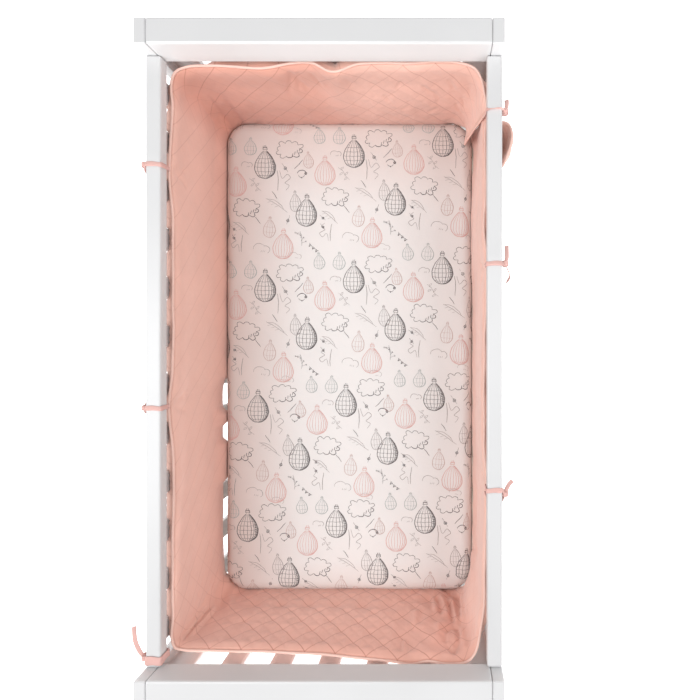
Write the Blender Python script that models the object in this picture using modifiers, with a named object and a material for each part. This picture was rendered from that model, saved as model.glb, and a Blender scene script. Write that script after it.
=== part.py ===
"""Quilted crib bumper tied inside a slatted crib, round a mattress in its fitted sheet.

Metres. +Z up, the crib's four posts stand on z = 0. X runs across the crib, +Y towards its head.
"""
import math
from collections import namedtuple

import bmesh
import bpy
from mathutils import Vector

GAP = 0.0003

# Crib frame
INNER_X = 0.3555
INNER_Y = 0.6665
SIDE_THICK = 0.033
END_THICK = 0.055
OUTER_X = INNER_X + SIDE_THICK
OUTER_Y = INNER_Y + END_THICK
SIDE_TOP = 0.880
SIDE_RAIL = 0.028
END_TOP = 0.925
END_RAIL_UNDER = {"head": 0.8515, "foot": 0.864}
LOW_RAIL_FOOT = 0.230
LOW_RAIL_TOP = 0.290
POST_WIDE = 0.025
STILE_OVERLAP = 0.004
POST_EDGE = 0.002
RAIL_EDGE = 0.004
SLAT_EDGE = 0.003
SLAT_WIDE = 0.050
SLAT_THICK = 0.014
SLAT_MID_X = 0.372
SLAT_MID_Y = 0.694
END_SLATS = 5
END_GAP = 0.060
SIDE_SLATS = 12
SIDE_GAP = 0.060
BOARD_TOP = 0.4700
BOARD_THICK = 0.020
BOARD_CLEAR_X = 0.004
BOARD_CLEAR_Y = 0.002

# Mattress and sheet
MATTRESS_LEFT = -0.3362
MATTRESS_RIGHT = 0.3392
MATTRESS_HALF_Y = 0.6432
MATTRESS_TOP = 0.6002
MATTRESS_CORNER = 0.060
MATTRESS_EDGE = 0.030
SHEET_THICK = 0.0015
MATTRESS_BOTTOM = BOARD_TOP + SHEET_THICK + 2 * GAP
CORNER_STEPS = 6
HEM_INSET = 0.058

# Quilted pad
ROWS = 8
COLUMN = 0.035
TURN_COLUMN = 0.013
PUFF_FRONT = 0.0110
PUFF_BACK = 0.0040
STITCH_FRONT = 0.0062
STITCH_BACK = 0.0028
RIM_HALF = 0.0025
BELLY_SHAPE = 6.75
PIPING_R = 0.0028
PIPING_GAP = 0.0006
PIPING_SIDES = 6

# Ties
TIE_WIDE = 0.011
TIE_THICK = 0.0016
TIE_CLEAR = 0.0020
TIE_BEND = 0.005
TIE_BEND_STEPS = 3
KNOT_HALF = (0.0056, 0.0075, 0.0068)
KNOT_OUT = 0.0058
KNOT_DROP = 0.012
TAIL_HALF_AT_KNOT = 0.0035
TAIL_HALF = 0.0048

LOOKS = {
    "paint": ((0.90, 0.90, 0.91), 0.42),
    "board": ((0.78, 0.72, 0.62), 0.60),
    "ticking": ((0.93, 0.92, 0.90), 0.85),
    "print": ((0.90, 0.83, 0.80), 0.88),
    "quilt": ((0.79, 0.44, 0.36), 0.88),
    "piping": ((0.85, 0.54, 0.45), 0.85),
    "tie": ((0.82, 0.62, 0.57), 0.85),
}

# The pad's route, counter-clockwise from its free end at the head's right corner.
# top and low are points of its upper and lower edge; belly is how far it bows into the crib,
# and loft is how full its quilting is there.
Station = namedtuple("Station", "where top low belly loft")
ROUTE = [
    Station("head end", (0.3580, 0.562, 0.8430), (0.3190, 0.577, 0.6125), 0.003, 0.25),
    Station("head end turn", (0.3540, 0.597, 0.8415), (0.3290, 0.604, 0.6065), 0.004, 0.55),
    Station("head right turn", (0.3440, 0.637, 0.8400), (0.3240, 0.628, 0.6000), 0.006, 0.80),
    Station("head right corner", (0.3220, 0.662, 0.8390), (0.3030, 0.646, 0.5900), 0.010, 0.85),
    Station("head right", (0.2640, 0.673, 0.8400), (0.2500, 0.657, 0.5730), 0.015, 1.00),
    Station("head right half", (0.1800, 0.669, 0.8380), (0.1750, 0.660, 0.5720), 0.017, 1.00),
    Station("head right swell", (0.1350, 0.671, 0.8390), (0.1300, 0.660, 0.5720), 0.017, 1.00),
    Station("head middle", (0.0700, 0.668, 0.8390), (0.0700, 0.659, 0.5720), 0.016, 1.00),
    Station("head dip", (0.0115, 0.653, 0.8340), (0.0120, 0.658, 0.5720), 0.010, 1.00),
    Station("head past dip", (-0.0350, 0.670, 0.8390), (-0.0350, 0.659, 0.5720), 0.014, 1.00),
    Station("head left swell", (-0.0850, 0.668, 0.8390), (-0.0850, 0.660, 0.5720), 0.016, 1.00),
    Station("head left half", (-0.1550, 0.659, 0.8370), (-0.1500, 0.659, 0.5720), 0.016, 1.00),
    Station("head left", (-0.2600, 0.665, 0.8380), (-0.2450, 0.658, 0.5720), 0.014, 1.00),
    Station("head left corner", (-0.3200, 0.660, 0.8390), (-0.3150, 0.653, 0.5720), 0.005, 0.80),
    Station("left head corner", (-0.3500, 0.634, 0.8390), (-0.3500, 0.622, 0.5720), 0.003, 0.80),
    Station("left upper", (-0.3540, 0.545, 0.8370), (-0.3560, 0.540, 0.5710), 0.005, 1.00),
    Station("left head tie", (-0.3600, 0.429, 0.8400), (-0.3570, 0.430, 0.5720), 0.004, 1.00),
    Station("left below tie", (-0.3530, 0.310, 0.8370), (-0.3570, 0.310, 0.5710), 0.004, 1.00),
    Station("left centre", (-0.3530, 0.140, 0.8360), (-0.3560, 0.140, 0.5700), 0.005, 1.00),
    Station("left bulge", (-0.3535, -0.010, 0.8370), (-0.3490, -0.025, 0.5720), 0.004, 1.00),
    Station("left mid tie", (-0.3600, -0.102, 0.8400), (-0.3580, -0.105, 0.5710), 0.003, 1.00),
    Station("left past tie", (-0.3520, -0.240, 0.8360), (-0.3570, -0.240, 0.5710), 0.004, 1.00),
    Station("left lower", (-0.3530, -0.420, 0.8370), (-0.3570, -0.420, 0.5710), 0.004, 1.00),
    Station("left foot", (-0.3530, -0.560, 0.8370), (-0.3550, -0.550, 0.5720), 0.004, 1.00),
    Station("left foot corner", (-0.3490, -0.634, 0.8390), (-0.3440, -0.624, 0.5720), 0.002, 0.75),
    Station("foot left corner", (-0.3200, -0.651, 0.8390), (-0.3080, -0.653, 0.5720), 0.003, 0.75),
    Station("foot left", (-0.2200, -0.654, 0.8370), (-0.2100, -0.659, 0.5710), 0.011, 1.00),
    Station("foot left half", (-0.1000, -0.657, 0.8380), (-0.1000, -0.660, 0.5710), 0.013, 1.00),
    Station("foot middle", (0.0200, -0.663, 0.8400), (0.0200, -0.660, 0.5710), 0.014, 1.00),
    Station("foot right half", (0.1400, -0.672, 0.8450), (0.1400, -0.660, 0.5720), 0.014, 1.00),
    Station("foot right swell", (0.1880, -0.676, 0.8480), (0.1800, -0.660, 0.5720), 0.013, 1.00),
    Station("foot right dip", (0.2250, -0.671, 0.8470), (0.2150, -0.659, 0.5730), 0.012, 1.00),
    Station("foot right", (0.2650, -0.676, 0.8490), (0.2450, -0.658, 0.5740), 0.010, 0.95),
    Station("foot right corner", (0.3060, -0.674, 0.8480), (0.2840, -0.657, 0.5760), 0.006, 0.85),
    Station("corner turn", (0.3270, -0.660, 0.8450), (0.3080, -0.649, 0.5880), 0.006, 0.80),
    Station("right foot corner", (0.3380, -0.636, 0.8420), (0.3240, -0.626, 0.5980), 0.008, 0.80),
    Station("right foot", (0.3460, -0.592, 0.8400), (0.3400, -0.575, 0.6010), 0.008, 0.90),
    Station("right above foot", (0.3520, -0.530, 0.8380), (0.3550, -0.518, 0.5820), 0.002, 1.00),
    Station("right lower", (0.3550, -0.410, 0.8360), (0.3580, -0.410, 0.5710), 0.001, 1.00),
    Station("right foot tie", (0.3600, -0.281, 0.8400), (0.3570, -0.280, 0.5710), 0.003, 1.00),
    Station("right past tie", (0.3520, -0.200, 0.8370), (0.3570, -0.200, 0.5710), 0.003, 1.00),
    Station("right centre", (0.3530, 0.020, 0.8360), (0.3570, 0.020, 0.5710), 0.003, 1.00),
    Station("right before tie", (0.3560, 0.140, 0.8370), (0.3570, 0.140, 0.5710), 0.004, 1.00),
    Station("right mid tie", (0.3600, 0.213, 0.8400), (0.3570, 0.210, 0.5710), 0.008, 1.00),
    Station("right above tie", (0.3520, 0.295, 0.8370), (0.3570, 0.290, 0.5710), 0.011, 1.00),
    Station("right upper", (0.3550, 0.380, 0.8360), (0.3570, 0.380, 0.5710), 0.011, 1.00),
    Station("right near exit", (0.3550, 0.460, 0.8280), (0.3570, 0.460, 0.5710), 0.006, 0.80),
    Station("exit in", (0.3560, 0.516, 0.8080), (0.3570, 0.518, 0.5710), 0.000, 0.40),
    Station("exit half in", (0.3615, 0.544, 0.7940), (0.3615, 0.543, 0.5710), 0.000, 0.30),
    Station("exit", (0.3735, 0.5545, 0.7920), (0.3735, 0.554, 0.5710), 0.000, 0.30),
    Station("exit half out", (0.3880, 0.5540, 0.7980), (0.3870, 0.552, 0.5710), 0.000, 0.35),
    Station("outside", (0.4020, 0.5430, 0.8110), (0.3920, 0.541, 0.5710), 0.000, 0.60),
    Station("outside bow", (0.4080, 0.5080, 0.8290), (0.3930, 0.511, 0.5710), 0.002, 0.80),
    Station("outside end", (0.3970, 0.460, 0.8290), (0.3900, 0.472, 0.5710), 0.000, 0.40),
]
SMOOTH_STEPS = 16
TURN_FROM = "exit in"
TURN_TO = "outside"

# A tie's tails leave its knot: out is away from the rail, along is +Y, up is +Z.
Tail = namedtuple("Tail", "out along up")
Tie = namedtuple("Tie", "name side along low_along wide tails")
TIES = [
    Tie("tie_left_head", -1, 0.429, 0.432, TIE_WIDE, [
        [Tail(0.004, 0.008, -0.010), Tail(0.003, 0.012, -0.035), Tail(0.002, 0.009, -0.066)],
        [Tail(0.004, -0.008, -0.010), Tail(0.003, -0.011, -0.032), Tail(0.002, -0.016, -0.058)]]),
    Tie("tie_left_mid", -1, -0.102, -0.106, TIE_WIDE, [
        [Tail(0.004, 0.008, -0.010), Tail(0.003, 0.013, -0.033), Tail(0.002, 0.015, -0.060)],
        [Tail(0.004, -0.008, -0.010), Tail(0.003, -0.009, -0.034), Tail(0.002, -0.005, -0.066)]]),
    Tie("tie_left_foot", -1, -0.6515, -0.6515, 0.020, [
        [Tail(0.010, 0.014, 0.002), Tail(0.023, 0.036, -0.002), Tail(0.033, 0.060, -0.014)],
        [Tail(0.006, -0.008, -0.010), Tail(0.005, -0.014, -0.032), Tail(0.004, -0.016, -0.058)]]),
    Tie("tie_right_head", 1, 0.549, 0.547, TIE_WIDE - 0.003, [
        [Tail(0.003, 0.009, -0.010), Tail(0.003, 0.013, -0.030), Tail(0.003, 0.018, -0.050)],
        [Tail(0.003, 0.013, 0.002), Tail(0.004, 0.026, -0.004), Tail(0.004, 0.034, -0.018)]]),
    Tie("tie_right_mid", 1, 0.213, 0.216, TIE_WIDE, [
        [Tail(0.003, 0.012, 0.002), Tail(0.004, 0.026, -0.004), Tail(0.005, 0.042, -0.014)],
        [Tail(0.005, -0.010, -0.004), Tail(0.012, -0.026, -0.014), Tail(0.008, -0.036, -0.040)]]),
    Tie("tie_right_foot", 1, -0.281, -0.3075, TIE_WIDE, [
        [Tail(0.002, 0.010, 0.002), Tail(0.008, 0.020, -0.002), Tail(0.0175, 0.026, -0.012)],
        [Tail(0.005, -0.006, -0.012), Tail(0.004, -0.010, -0.034), Tail(0.003, -0.012, -0.060)]]),
]


def clear_scene():
    for obj in list(bpy.data.objects):
        bpy.data.objects.remove(obj, do_unlink=True)


def helper_collection():
    helpers = bpy.data.collections.new("helpers")
    bpy.context.scene.collection.children.link(helpers)
    return helpers


def material_for(name, look):
    color, rough = LOOKS[look]
    made = bpy.data.materials.new(look + "_" + name)
    made.use_nodes = True
    shader = made.node_tree.nodes["Principled BSDF"]
    shader.inputs["Base Color"].default_value = (*color, 1.0)
    shader.inputs["Roughness"].default_value = rough
    shader.inputs["Metallic"].default_value = 0.0
    made.diffuse_color = (*color, 1.0)
    return made


def add_object(name, mesh, look):
    obj = bpy.data.objects.new(name, mesh)
    bpy.context.scene.collection.objects.link(obj)
    mesh.materials.append(material_for(name, look))
    return obj


def mesh_of(name, points, faces):
    mesh = bpy.data.meshes.new(name)
    mesh.from_pydata([tuple(p) for p in points], [], faces)
    mesh.validate()
    work = bmesh.new()
    work.from_mesh(mesh)
    bmesh.ops.recalc_face_normals(work, faces=work.faces)
    work.to_mesh(mesh)
    work.free()
    return mesh


def box_mesh(name, size):
    work = bmesh.new()
    bmesh.ops.create_cube(work, size=1.0)
    bmesh.ops.scale(work, vec=Vector(size), verts=work.verts)
    mesh = bpy.data.meshes.new(name)
    work.to_mesh(mesh)
    work.free()
    return mesh


def round_edges(obj, width, segments):
    bevel = obj.modifiers.new("edges", "BEVEL")
    bevel.width = width
    bevel.segments = segments
    bevel.limit_method = "ANGLE"


def box(name, corner, other, look="paint"):
    """A box between two opposite corners, given in any order."""
    obj = add_object(name, box_mesh(name, [abs(b - a) for a, b in zip(corner, other)]), look)
    obj.location = [(a + b) / 2 for a, b in zip(corner, other)]
    return obj


def joined_to(obj, other, helpers):
    """Adds other, a helper kept out of the render, to obj's solid."""
    bpy.context.scene.collection.objects.unlink(other)
    helpers.objects.link(other)
    other.hide_render = True
    other.display_type = "WIRE"
    join = obj.modifiers.new("join " + other.name, "BOOLEAN")
    join.operation = "UNION"
    join.solver = "EXACT"
    join.use_self = True
    join.object = other


def build_posts(helpers):
    """Each post carries the stile that closes the end's slat row at its corner."""
    inner_x = OUTER_X - POST_WIDE
    half_row = (END_SLATS * SLAT_WIDE + (END_SLATS + 1) * END_GAP) / 2
    for end, sy in (("head", 1), ("foot", -1)):
        for side, sx in (("left", -1), ("right", 1)):
            name = "post_" + end + "_" + side
            post = box(name, (sx * inner_x, sy * INNER_Y, 0.0), (sx * OUTER_X, sy * OUTER_Y, END_TOP))
            stile = box(name + "_stile",
                        (sx * half_row, sy * (SLAT_MID_Y - SLAT_THICK / 2), LOW_RAIL_TOP + GAP),
                        (sx * (inner_x + STILE_OVERLAP), sy * (SLAT_MID_Y + SLAT_THICK / 2),
                         END_RAIL_UNDER[end] - GAP))
            joined_to(post, stile, helpers)
            round_edges(post, POST_EDGE, 1)


def build_ends():
    half = OUTER_X - POST_WIDE - GAP
    near, far = SLAT_MID_Y - SLAT_THICK / 2, SLAT_MID_Y + SLAT_THICK / 2
    for end, sy in (("head", 1), ("foot", -1)):
        top = box(end + "_rail_top", (-half, sy * INNER_Y, END_RAIL_UNDER[end]),
                  (half, sy * OUTER_Y, END_TOP))
        round_edges(top, RAIL_EDGE, 2)
        low = box(end + "_rail_low", (-half, sy * INNER_Y, LOW_RAIL_FOOT),
                  (half, sy * OUTER_Y, LOW_RAIL_TOP))
        round_edges(low, SLAT_EDGE, 1)
        for n in range(END_SLATS):
            mid = (n - (END_SLATS - 1) / 2) * (SLAT_WIDE + END_GAP)
            slat = box(end + "_slat_" + str(n + 1),
                       (mid - SLAT_WIDE / 2, sy * near, LOW_RAIL_TOP + GAP),
                       (mid + SLAT_WIDE / 2, sy * far, END_RAIL_UNDER[end] - GAP))
            round_edges(slat, SLAT_EDGE, 1)


def build_sides():
    reach = INNER_Y - GAP
    near, far = SLAT_MID_X - SLAT_THICK / 2, SLAT_MID_X + SLAT_THICK / 2
    for side, sx in (("left", -1), ("right", 1)):
        top = box(side + "_rail_top", (sx * INNER_X, -reach, SIDE_TOP - SIDE_RAIL),
                  (sx * OUTER_X, reach, SIDE_TOP))
        round_edges(top, RAIL_EDGE, 2)
        low = box(side + "_rail_low", (sx * INNER_X, -reach, LOW_RAIL_FOOT),
                  (sx * OUTER_X, reach, LOW_RAIL_TOP))
        round_edges(low, SLAT_EDGE, 1)
        for n in range(SIDE_SLATS):
            mid = (n - (SIDE_SLATS - 1) / 2) * (SLAT_WIDE + SIDE_GAP)
            slat = box(side + "_slat_" + str(n + 1),
                       (sx * near, mid - SLAT_WIDE / 2, LOW_RAIL_TOP + GAP),
                       (sx * far, mid + SLAT_WIDE / 2, SIDE_TOP - SIDE_RAIL - GAP))
            round_edges(slat, SLAT_EDGE, 1)


def build_board():
    half_x, half_y = INNER_X - BOARD_CLEAR_X, INNER_Y - BOARD_CLEAR_Y
    board = box("mattress_board", (-half_x, -half_y, BOARD_TOP - BOARD_THICK),
                (half_x, half_y, BOARD_TOP), look="board")
    round_edges(board, SLAT_EDGE, 1)


def ring_faces(rings, size, start=0, looped=False):
    """Quads between successive rings of size points; looped joins the last ring to the first."""
    faces = []
    for k in range(rings if looped else rings - 1):
        a = start + k * size
        b = start + (k + 1) % rings * size
        for n in range(size):
            m = (n + 1) % size
            faces.append((a + n, a + m, b + m, b + n))
    return faces


def slab_ring(inset, z):
    """One level of the mattress, its corners rounded, drawn in by inset."""
    r = MATTRESS_CORNER - inset
    high_x, low_x = MATTRESS_RIGHT - MATTRESS_CORNER, MATTRESS_LEFT + MATTRESS_CORNER
    high_y = MATTRESS_HALF_Y - MATTRESS_CORNER
    ring = []
    for turn, (cx, cy) in enumerate(((high_x, high_y), (low_x, high_y), (low_x, -high_y), (high_x, -high_y))):
        for n in range(CORNER_STEPS + 1):
            a = math.pi / 2 * (turn + n / CORNER_STEPS)
            ring.append(Vector((cx + r * math.cos(a), cy + r * math.sin(a), z)))
    return ring


def slab_rings(grow, arc_steps=4):
    """Rings up the side of the mattress with its rounded edges, grown outwards by grow."""
    rings = []
    for centre, quarter in ((MATTRESS_BOTTOM + MATTRESS_EDGE, 3), (MATTRESS_TOP - MATTRESS_EDGE, 0)):
        for n in range(arc_steps + 1):
            a = math.pi / 2 * (quarter + n / arc_steps)
            rings.append(slab_ring(MATTRESS_EDGE - (MATTRESS_EDGE + grow) * math.cos(a),
                                   centre + (MATTRESS_EDGE + grow) * math.sin(a)))
    return rings


def build_mattress():
    rings = slab_rings(0.0)
    size = len(rings[0])
    last = (len(rings) - 1) * size
    faces = ring_faces(len(rings), size)
    faces += [tuple(range(size)), tuple(range(last, last + size))]
    add_object("mattress", mesh_of("mattress", sum(rings, []), faces), "ticking")


def build_sheet():
    """A cap over the mattress whose hem turns in under it: an outer skin, an inner one and the hem's edge."""
    points, faces, hems = [], [], []
    for grow in (GAP + SHEET_THICK, GAP):
        rings = [slab_ring(HEM_INSET, MATTRESS_BOTTOM - grow)] + slab_rings(grow)
        size = len(rings[0])
        start = len(points)
        last = start + (len(rings) - 1) * size
        faces += ring_faces(len(rings), size, start)
        faces.append(tuple(range(last, last + size)))
        points += sum(rings, [])
        hems.append(start)
    for n in range(size):
        m = (n + 1) % size
        faces.append((hems[0] + n, hems[0] + m, hems[1] + m, hems[1] + n))
    add_object("fitted_sheet", mesh_of("fitted_sheet", points, faces), "print")


def catmull(p0, p1, p2, p3, t):
    a = 2 * p1
    b = (p2 - p0) * t
    c = (2 * p0 - 5 * p1 + 4 * p2 - p3) * t * t
    d = (3 * p1 - p0 - 3 * p2 + p3) * t * t * t
    return 0.5 * (a + b + c + d)


def smooth_route():
    """Even fine steps along the stations, as (top, low, belly, loft) with the length so far."""
    rows = [(Vector(s.top), Vector(s.low), s.belly, s.loft) for s in ROUTE]
    fine, marks = [], {}
    for k in range(len(rows) - 1):
        marks[ROUTE[k].where] = len(fine)
        four = [rows[max(k - 1, 0)], rows[k], rows[k + 1], rows[min(k + 2, len(rows) - 1)]]
        for n in range(SMOOTH_STEPS):
            t = n / SMOOTH_STEPS
            fine.append(tuple(catmull(*(row[part] for row in four), t) for part in range(4)))
    marks[ROUTE[-1].where] = len(fine)
    fine.append(rows[-1])
    lengths = [0.0]
    for a, b in zip(fine, fine[1:]):
        lengths.append(lengths[-1] + (b[0].lerp(b[1], 0.5) - a[0].lerp(a[1], 0.5)).length)
    return fine, lengths, marks


def even_stops(start, end, pitch, evenly):
    """Stops from start to end about pitch apart, an even number of spaces if evenly."""
    spaces = max(2, round((end - start) / pitch))
    if evenly and spaces % 2:
        spaces += 1
    return [start + (end - start) * n / spaces for n in range(spaces)]


def pad_columns():
    """The pad's columns: one (top, low, belly, loft) for each half diamond."""
    fine, lengths, marks = smooth_route()
    turn_from = lengths[marks[TURN_FROM]]
    turn_to = lengths[marks[TURN_TO]]
    stops = even_stops(0.0, turn_from, COLUMN, True)
    stops += even_stops(turn_from, turn_to, TURN_COLUMN, True)
    stops += even_stops(turn_to, lengths[-1], COLUMN, True)
    stops.append(lengths[-1])
    columns, k = [], 0
    for stop in stops:
        while k < len(lengths) - 2 and lengths[k + 1] < stop:
            k += 1
        t = (stop - lengths[k]) / (lengths[k + 1] - lengths[k])
        a, b = fine[k], fine[k + 1]
        columns.append((a[0].lerp(b[0], t), a[1].lerp(b[1], t),
                        a[2] + (b[2] - a[2]) * t, a[3] + (b[3] - a[3]) * t))
    return columns, lengths[-1]


def pad_grid(columns):
    """Middle points and inward directions of the pad, by column and row."""
    middle = [[low.lerp(top, j / ROWS) for j in range(ROWS + 1)] for top, low, _, _ in columns]
    inward = []
    last = len(columns) - 1
    for i in range(last + 1):
        line = []
        for j in range(ROWS + 1):
            run = middle[min(i + 1, last)][j] - middle[max(i - 1, 0)][j]
            line.append(Vector((-run.y, run.x, 0.0)).normalized())
        inward.append(line)
    for i, (_, _, belly, _) in enumerate(columns):
        for j in range(ROWS + 1):
            t = j / ROWS
            middle[i][j] += inward[i][j] * belly * BELLY_SHAPE * t * (1 - t) ** 2
    return middle, inward


def build_pad(columns, middle, inward):
    """Diamond quilting: a column and row whose sum is even lies on crossing stitch lines."""
    last = len(columns) - 1
    points, index = [], {}
    for i in range(last + 1):
        loft = columns[i][3]
        for j in range(ROWS + 1):
            edge = j in (0, ROWS) or i in (0, last)
            if edge:
                front = back = RIM_HALF
            elif (i + j) % 2 == 0:
                front, back = STITCH_FRONT, STITCH_BACK
            else:
                front = STITCH_FRONT + (PUFF_FRONT - STITCH_FRONT) * loft
                back = STITCH_BACK + (PUFF_BACK - STITCH_BACK) * loft
            index[i, j, 0] = len(points)
            points.append(middle[i][j] + inward[i][j] * front)
            index[i, j, 1] = len(points)
            points.append(middle[i][j] - inward[i][j] * back)
    faces = []
    for i in range(last):
        for j in range(ROWS):
            for face in (0, 1):
                a, b = index[i, j, face], index[i + 1, j, face]
                c, d = index[i + 1, j + 1, face], index[i, j + 1, face]
                if (i + j) % 2 == 0:
                    faces += [(a, b, c), (a, c, d)]
                else:
                    faces += [(a, b, d), (b, c, d)]
        for j in (0, ROWS):
            faces.append((index[i, j, 0], index[i + 1, j, 0], index[i + 1, j, 1], index[i, j, 1]))
    for i in (0, last):
        for j in range(ROWS):
            faces.append((index[i, j, 0], index[i, j + 1, 0], index[i, j + 1, 1], index[i, j, 1]))
    add_object("bumper", mesh_of("bumper", points, faces), "quilt")


def build_piping(columns, middle, inward):
    """One cord in a closed ring round the pad's edge."""
    last = len(columns) - 1
    off = PIPING_R / math.cos(math.pi / PIPING_SIDES) + PIPING_GAP
    up = Vector((0.0, 0.0, 1.0))
    start_out = (middle[0][ROWS // 2] - middle[1][ROWS // 2]).normalized()
    end_out = (middle[last][ROWS // 2] - middle[last - 1][ROWS // 2]).normalized()
    start_out.z = 0.0
    end_out.z = 0.0
    stops = []
    for i in range(last + 1):
        out = up.copy()
        if i in (0, last):
            out += start_out if i == 0 else end_out
        stops.append((middle[i][ROWS], out, inward[i][ROWS]))
    for j in range(ROWS - 1, 0, -1):
        stops.append((middle[last][j], end_out, inward[last][j]))
    for i in range(last, -1, -1):
        out = -up
        if i in (0, last):
            out = out + (start_out if i == 0 else end_out)
        stops.append((middle[i][0], out, inward[i][0]))
    for j in range(1, ROWS):
        stops.append((middle[0][j], start_out, inward[0][j]))
    points = []
    for middle_point, out, side in stops:
        centre = middle_point + out * off
        flat = out.normalized()
        for n in range(PIPING_SIDES):
            a = 2 * math.pi * (n + 0.5) / PIPING_SIDES
            points.append(centre + flat * PIPING_R * math.cos(a) + side * PIPING_R * math.sin(a))
    faces = ring_faces(len(stops), PIPING_SIDES, looped=True)
    add_object("bumper_piping", mesh_of("bumper_piping", points, faces), "piping")


def tie_loop(tie):
    """A flat band in a closed loop round the side rail, its lower strand led towards a slat gap."""
    half = TIE_THICK / 2
    out = TIE_CLEAR + half
    low_x, high_x = INNER_X - out, OUTER_X + out
    low_z, high_z = SIDE_TOP - SIDE_RAIL - out, SIDE_TOP + out
    bends = ((high_x - TIE_BEND, high_z - TIE_BEND), (low_x + TIE_BEND, high_z - TIE_BEND),
             (low_x + TIE_BEND, low_z + TIE_BEND), (high_x - TIE_BEND, low_z + TIE_BEND))
    points, rings = [], 0
    for turn, (cx, cz) in enumerate(bends):
        for n in range(TIE_BEND_STEPS + 1):
            a = math.pi / 2 * (turn + n / TIE_BEND_STEPS)
            for skin, y in ((half, -1), (half, 1), (-half, 1), (-half, -1)):
                r = TIE_BEND + skin
                z = cz + r * math.sin(a)
                rise = (z - low_z) / (high_z - low_z)
                along = tie.low_along + (tie.along - tie.low_along) * rise
                points.append(Vector((tie.side * (cx + r * math.cos(a)), along + y * tie.wide / 2, z)))
            rings += 1
    return add_object(tie.name, mesh_of(tie.name, points, ring_faces(rings, 4, looped=True)), "tie")


def knot_of(tie, centre):
    work = bmesh.new()
    bmesh.ops.create_icosphere(work, subdivisions=2, radius=1.0)
    bmesh.ops.scale(work, vec=Vector(KNOT_HALF), verts=work.verts)
    mesh = bpy.data.meshes.new(tie.name + "_knot")
    work.to_mesh(mesh)
    work.free()
    knot = add_object(tie.name + "_knot", mesh, "tie")
    knot.location = centre
    return knot


def tail_of(tie, centre, number, tail):
    """A flat strip from inside the knot through the tail's points."""
    path = [centre]
    for step in tail:
        path.append(centre + Vector((tie.side * step.out, step.along, step.up)))
    whole = (path[-1] - path[0]).normalized()
    hangs = abs(whole.z) > 0.7
    across = Vector((0.0, 1.0, 0.0)) if hangs else Vector((tie.side, 0.0, 1.0))
    last = len(path) - 1
    points = []
    for k, point in enumerate(path):
        run = (path[min(k + 1, last)] - path[max(k - 1, 0)]).normalized()
        face = run.cross(across).normalized()
        wide = face.cross(run).normalized()
        half_wide = TAIL_HALF_AT_KNOT if k == 0 else TAIL_HALF
        for u, v in ((-1, -1), (1, -1), (1, 1), (-1, 1)):
            points.append(point + wide * half_wide * u + face * TIE_THICK / 2 * v)
    faces = ring_faces(len(path), 4)
    faces += [tuple(range(4)), tuple(range(4 * last, 4 * last + 4))]
    name = tie.name + "_tail_" + str(number)
    return add_object(name, mesh_of(name, points, faces), "tie")


def build_ties(helpers):
    for tie in TIES:
        loop = tie_loop(tie)
        lean = (tie.low_along - tie.along) * KNOT_DROP / (SIDE_RAIL + 2 * TIE_CLEAR)
        centre = Vector((tie.side * (OUTER_X + TIE_CLEAR + KNOT_OUT), tie.along + lean, SIDE_TOP - KNOT_DROP))
        joined_to(loop, knot_of(tie, centre), helpers)
        for number, tail in enumerate(tie.tails):
            joined_to(loop, tail_of(tie, centre, number + 1, tail), helpers)


def main():
    clear_scene()
    helpers = helper_collection()
    build_posts(helpers)
    build_ends()
    build_sides()
    build_board()
    build_mattress()
    build_sheet()
    columns, length = pad_columns()
    middle, inward = pad_grid(columns)
    build_pad(columns, middle, inward)
    build_piping(columns, middle, inward)
    build_ties(helpers)
    print("pad length", round(length, 4), "columns", len(columns))


main()
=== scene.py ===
"""Looks for a quilted crib bumper tied inside a slatted crib, round a mattress in a printed fitted sheet.

Metres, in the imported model's frame: +Z up, the crib stands on z = 0, +Y runs towards its head.
"""
import math
from collections import namedtuple

import bpy
import numpy as np
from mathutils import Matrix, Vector


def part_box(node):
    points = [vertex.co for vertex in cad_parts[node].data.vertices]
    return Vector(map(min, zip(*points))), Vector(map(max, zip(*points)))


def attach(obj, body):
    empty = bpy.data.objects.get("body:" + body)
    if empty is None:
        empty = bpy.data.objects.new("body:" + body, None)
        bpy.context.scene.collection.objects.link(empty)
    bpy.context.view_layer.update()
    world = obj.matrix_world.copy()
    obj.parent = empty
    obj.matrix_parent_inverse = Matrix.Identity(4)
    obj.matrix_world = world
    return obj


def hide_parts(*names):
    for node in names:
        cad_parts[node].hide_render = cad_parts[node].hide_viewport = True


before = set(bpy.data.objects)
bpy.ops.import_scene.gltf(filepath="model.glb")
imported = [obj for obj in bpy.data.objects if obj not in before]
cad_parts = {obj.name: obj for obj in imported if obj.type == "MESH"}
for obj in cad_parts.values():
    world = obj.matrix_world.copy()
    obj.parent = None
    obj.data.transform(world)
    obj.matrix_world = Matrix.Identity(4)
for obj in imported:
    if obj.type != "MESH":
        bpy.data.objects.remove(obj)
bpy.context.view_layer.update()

# Camera, floor and lights: a panel over the left side, a weaker fill over the right, and a low strip
# past the foot that lights the head rail's inner face.
CAMERA_AT = (0.257, 0.051, 1.98)
CAMERA_LENS = 26.0
CAMERA_SENSOR = 36.0
CAMERA_SHIFT = (-0.1314, -0.0171)
FLOOR_HALF = 7.0
WORLD_STRENGTH = 0.52
FLOOR_GLOW = 0.75
Panel = namedtuple("Panel", "name at wide long watts aim")
LIGHTS = [
    Panel("panel", (-1.60, -0.32, 3.00), 1.50, 3.40, 58.0, (0.0, 0.0, 0.60)),
    Panel("fill", (1.75, 0.05, 2.70), 1.40, 1.40, 27.0, (0.0, 0.0, 0.60)),
    Panel("strip", (0.10, -3.00, 1.07), 1.70, 0.14, 75.0, (0.0, 0.67, 0.90)),
]

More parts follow.
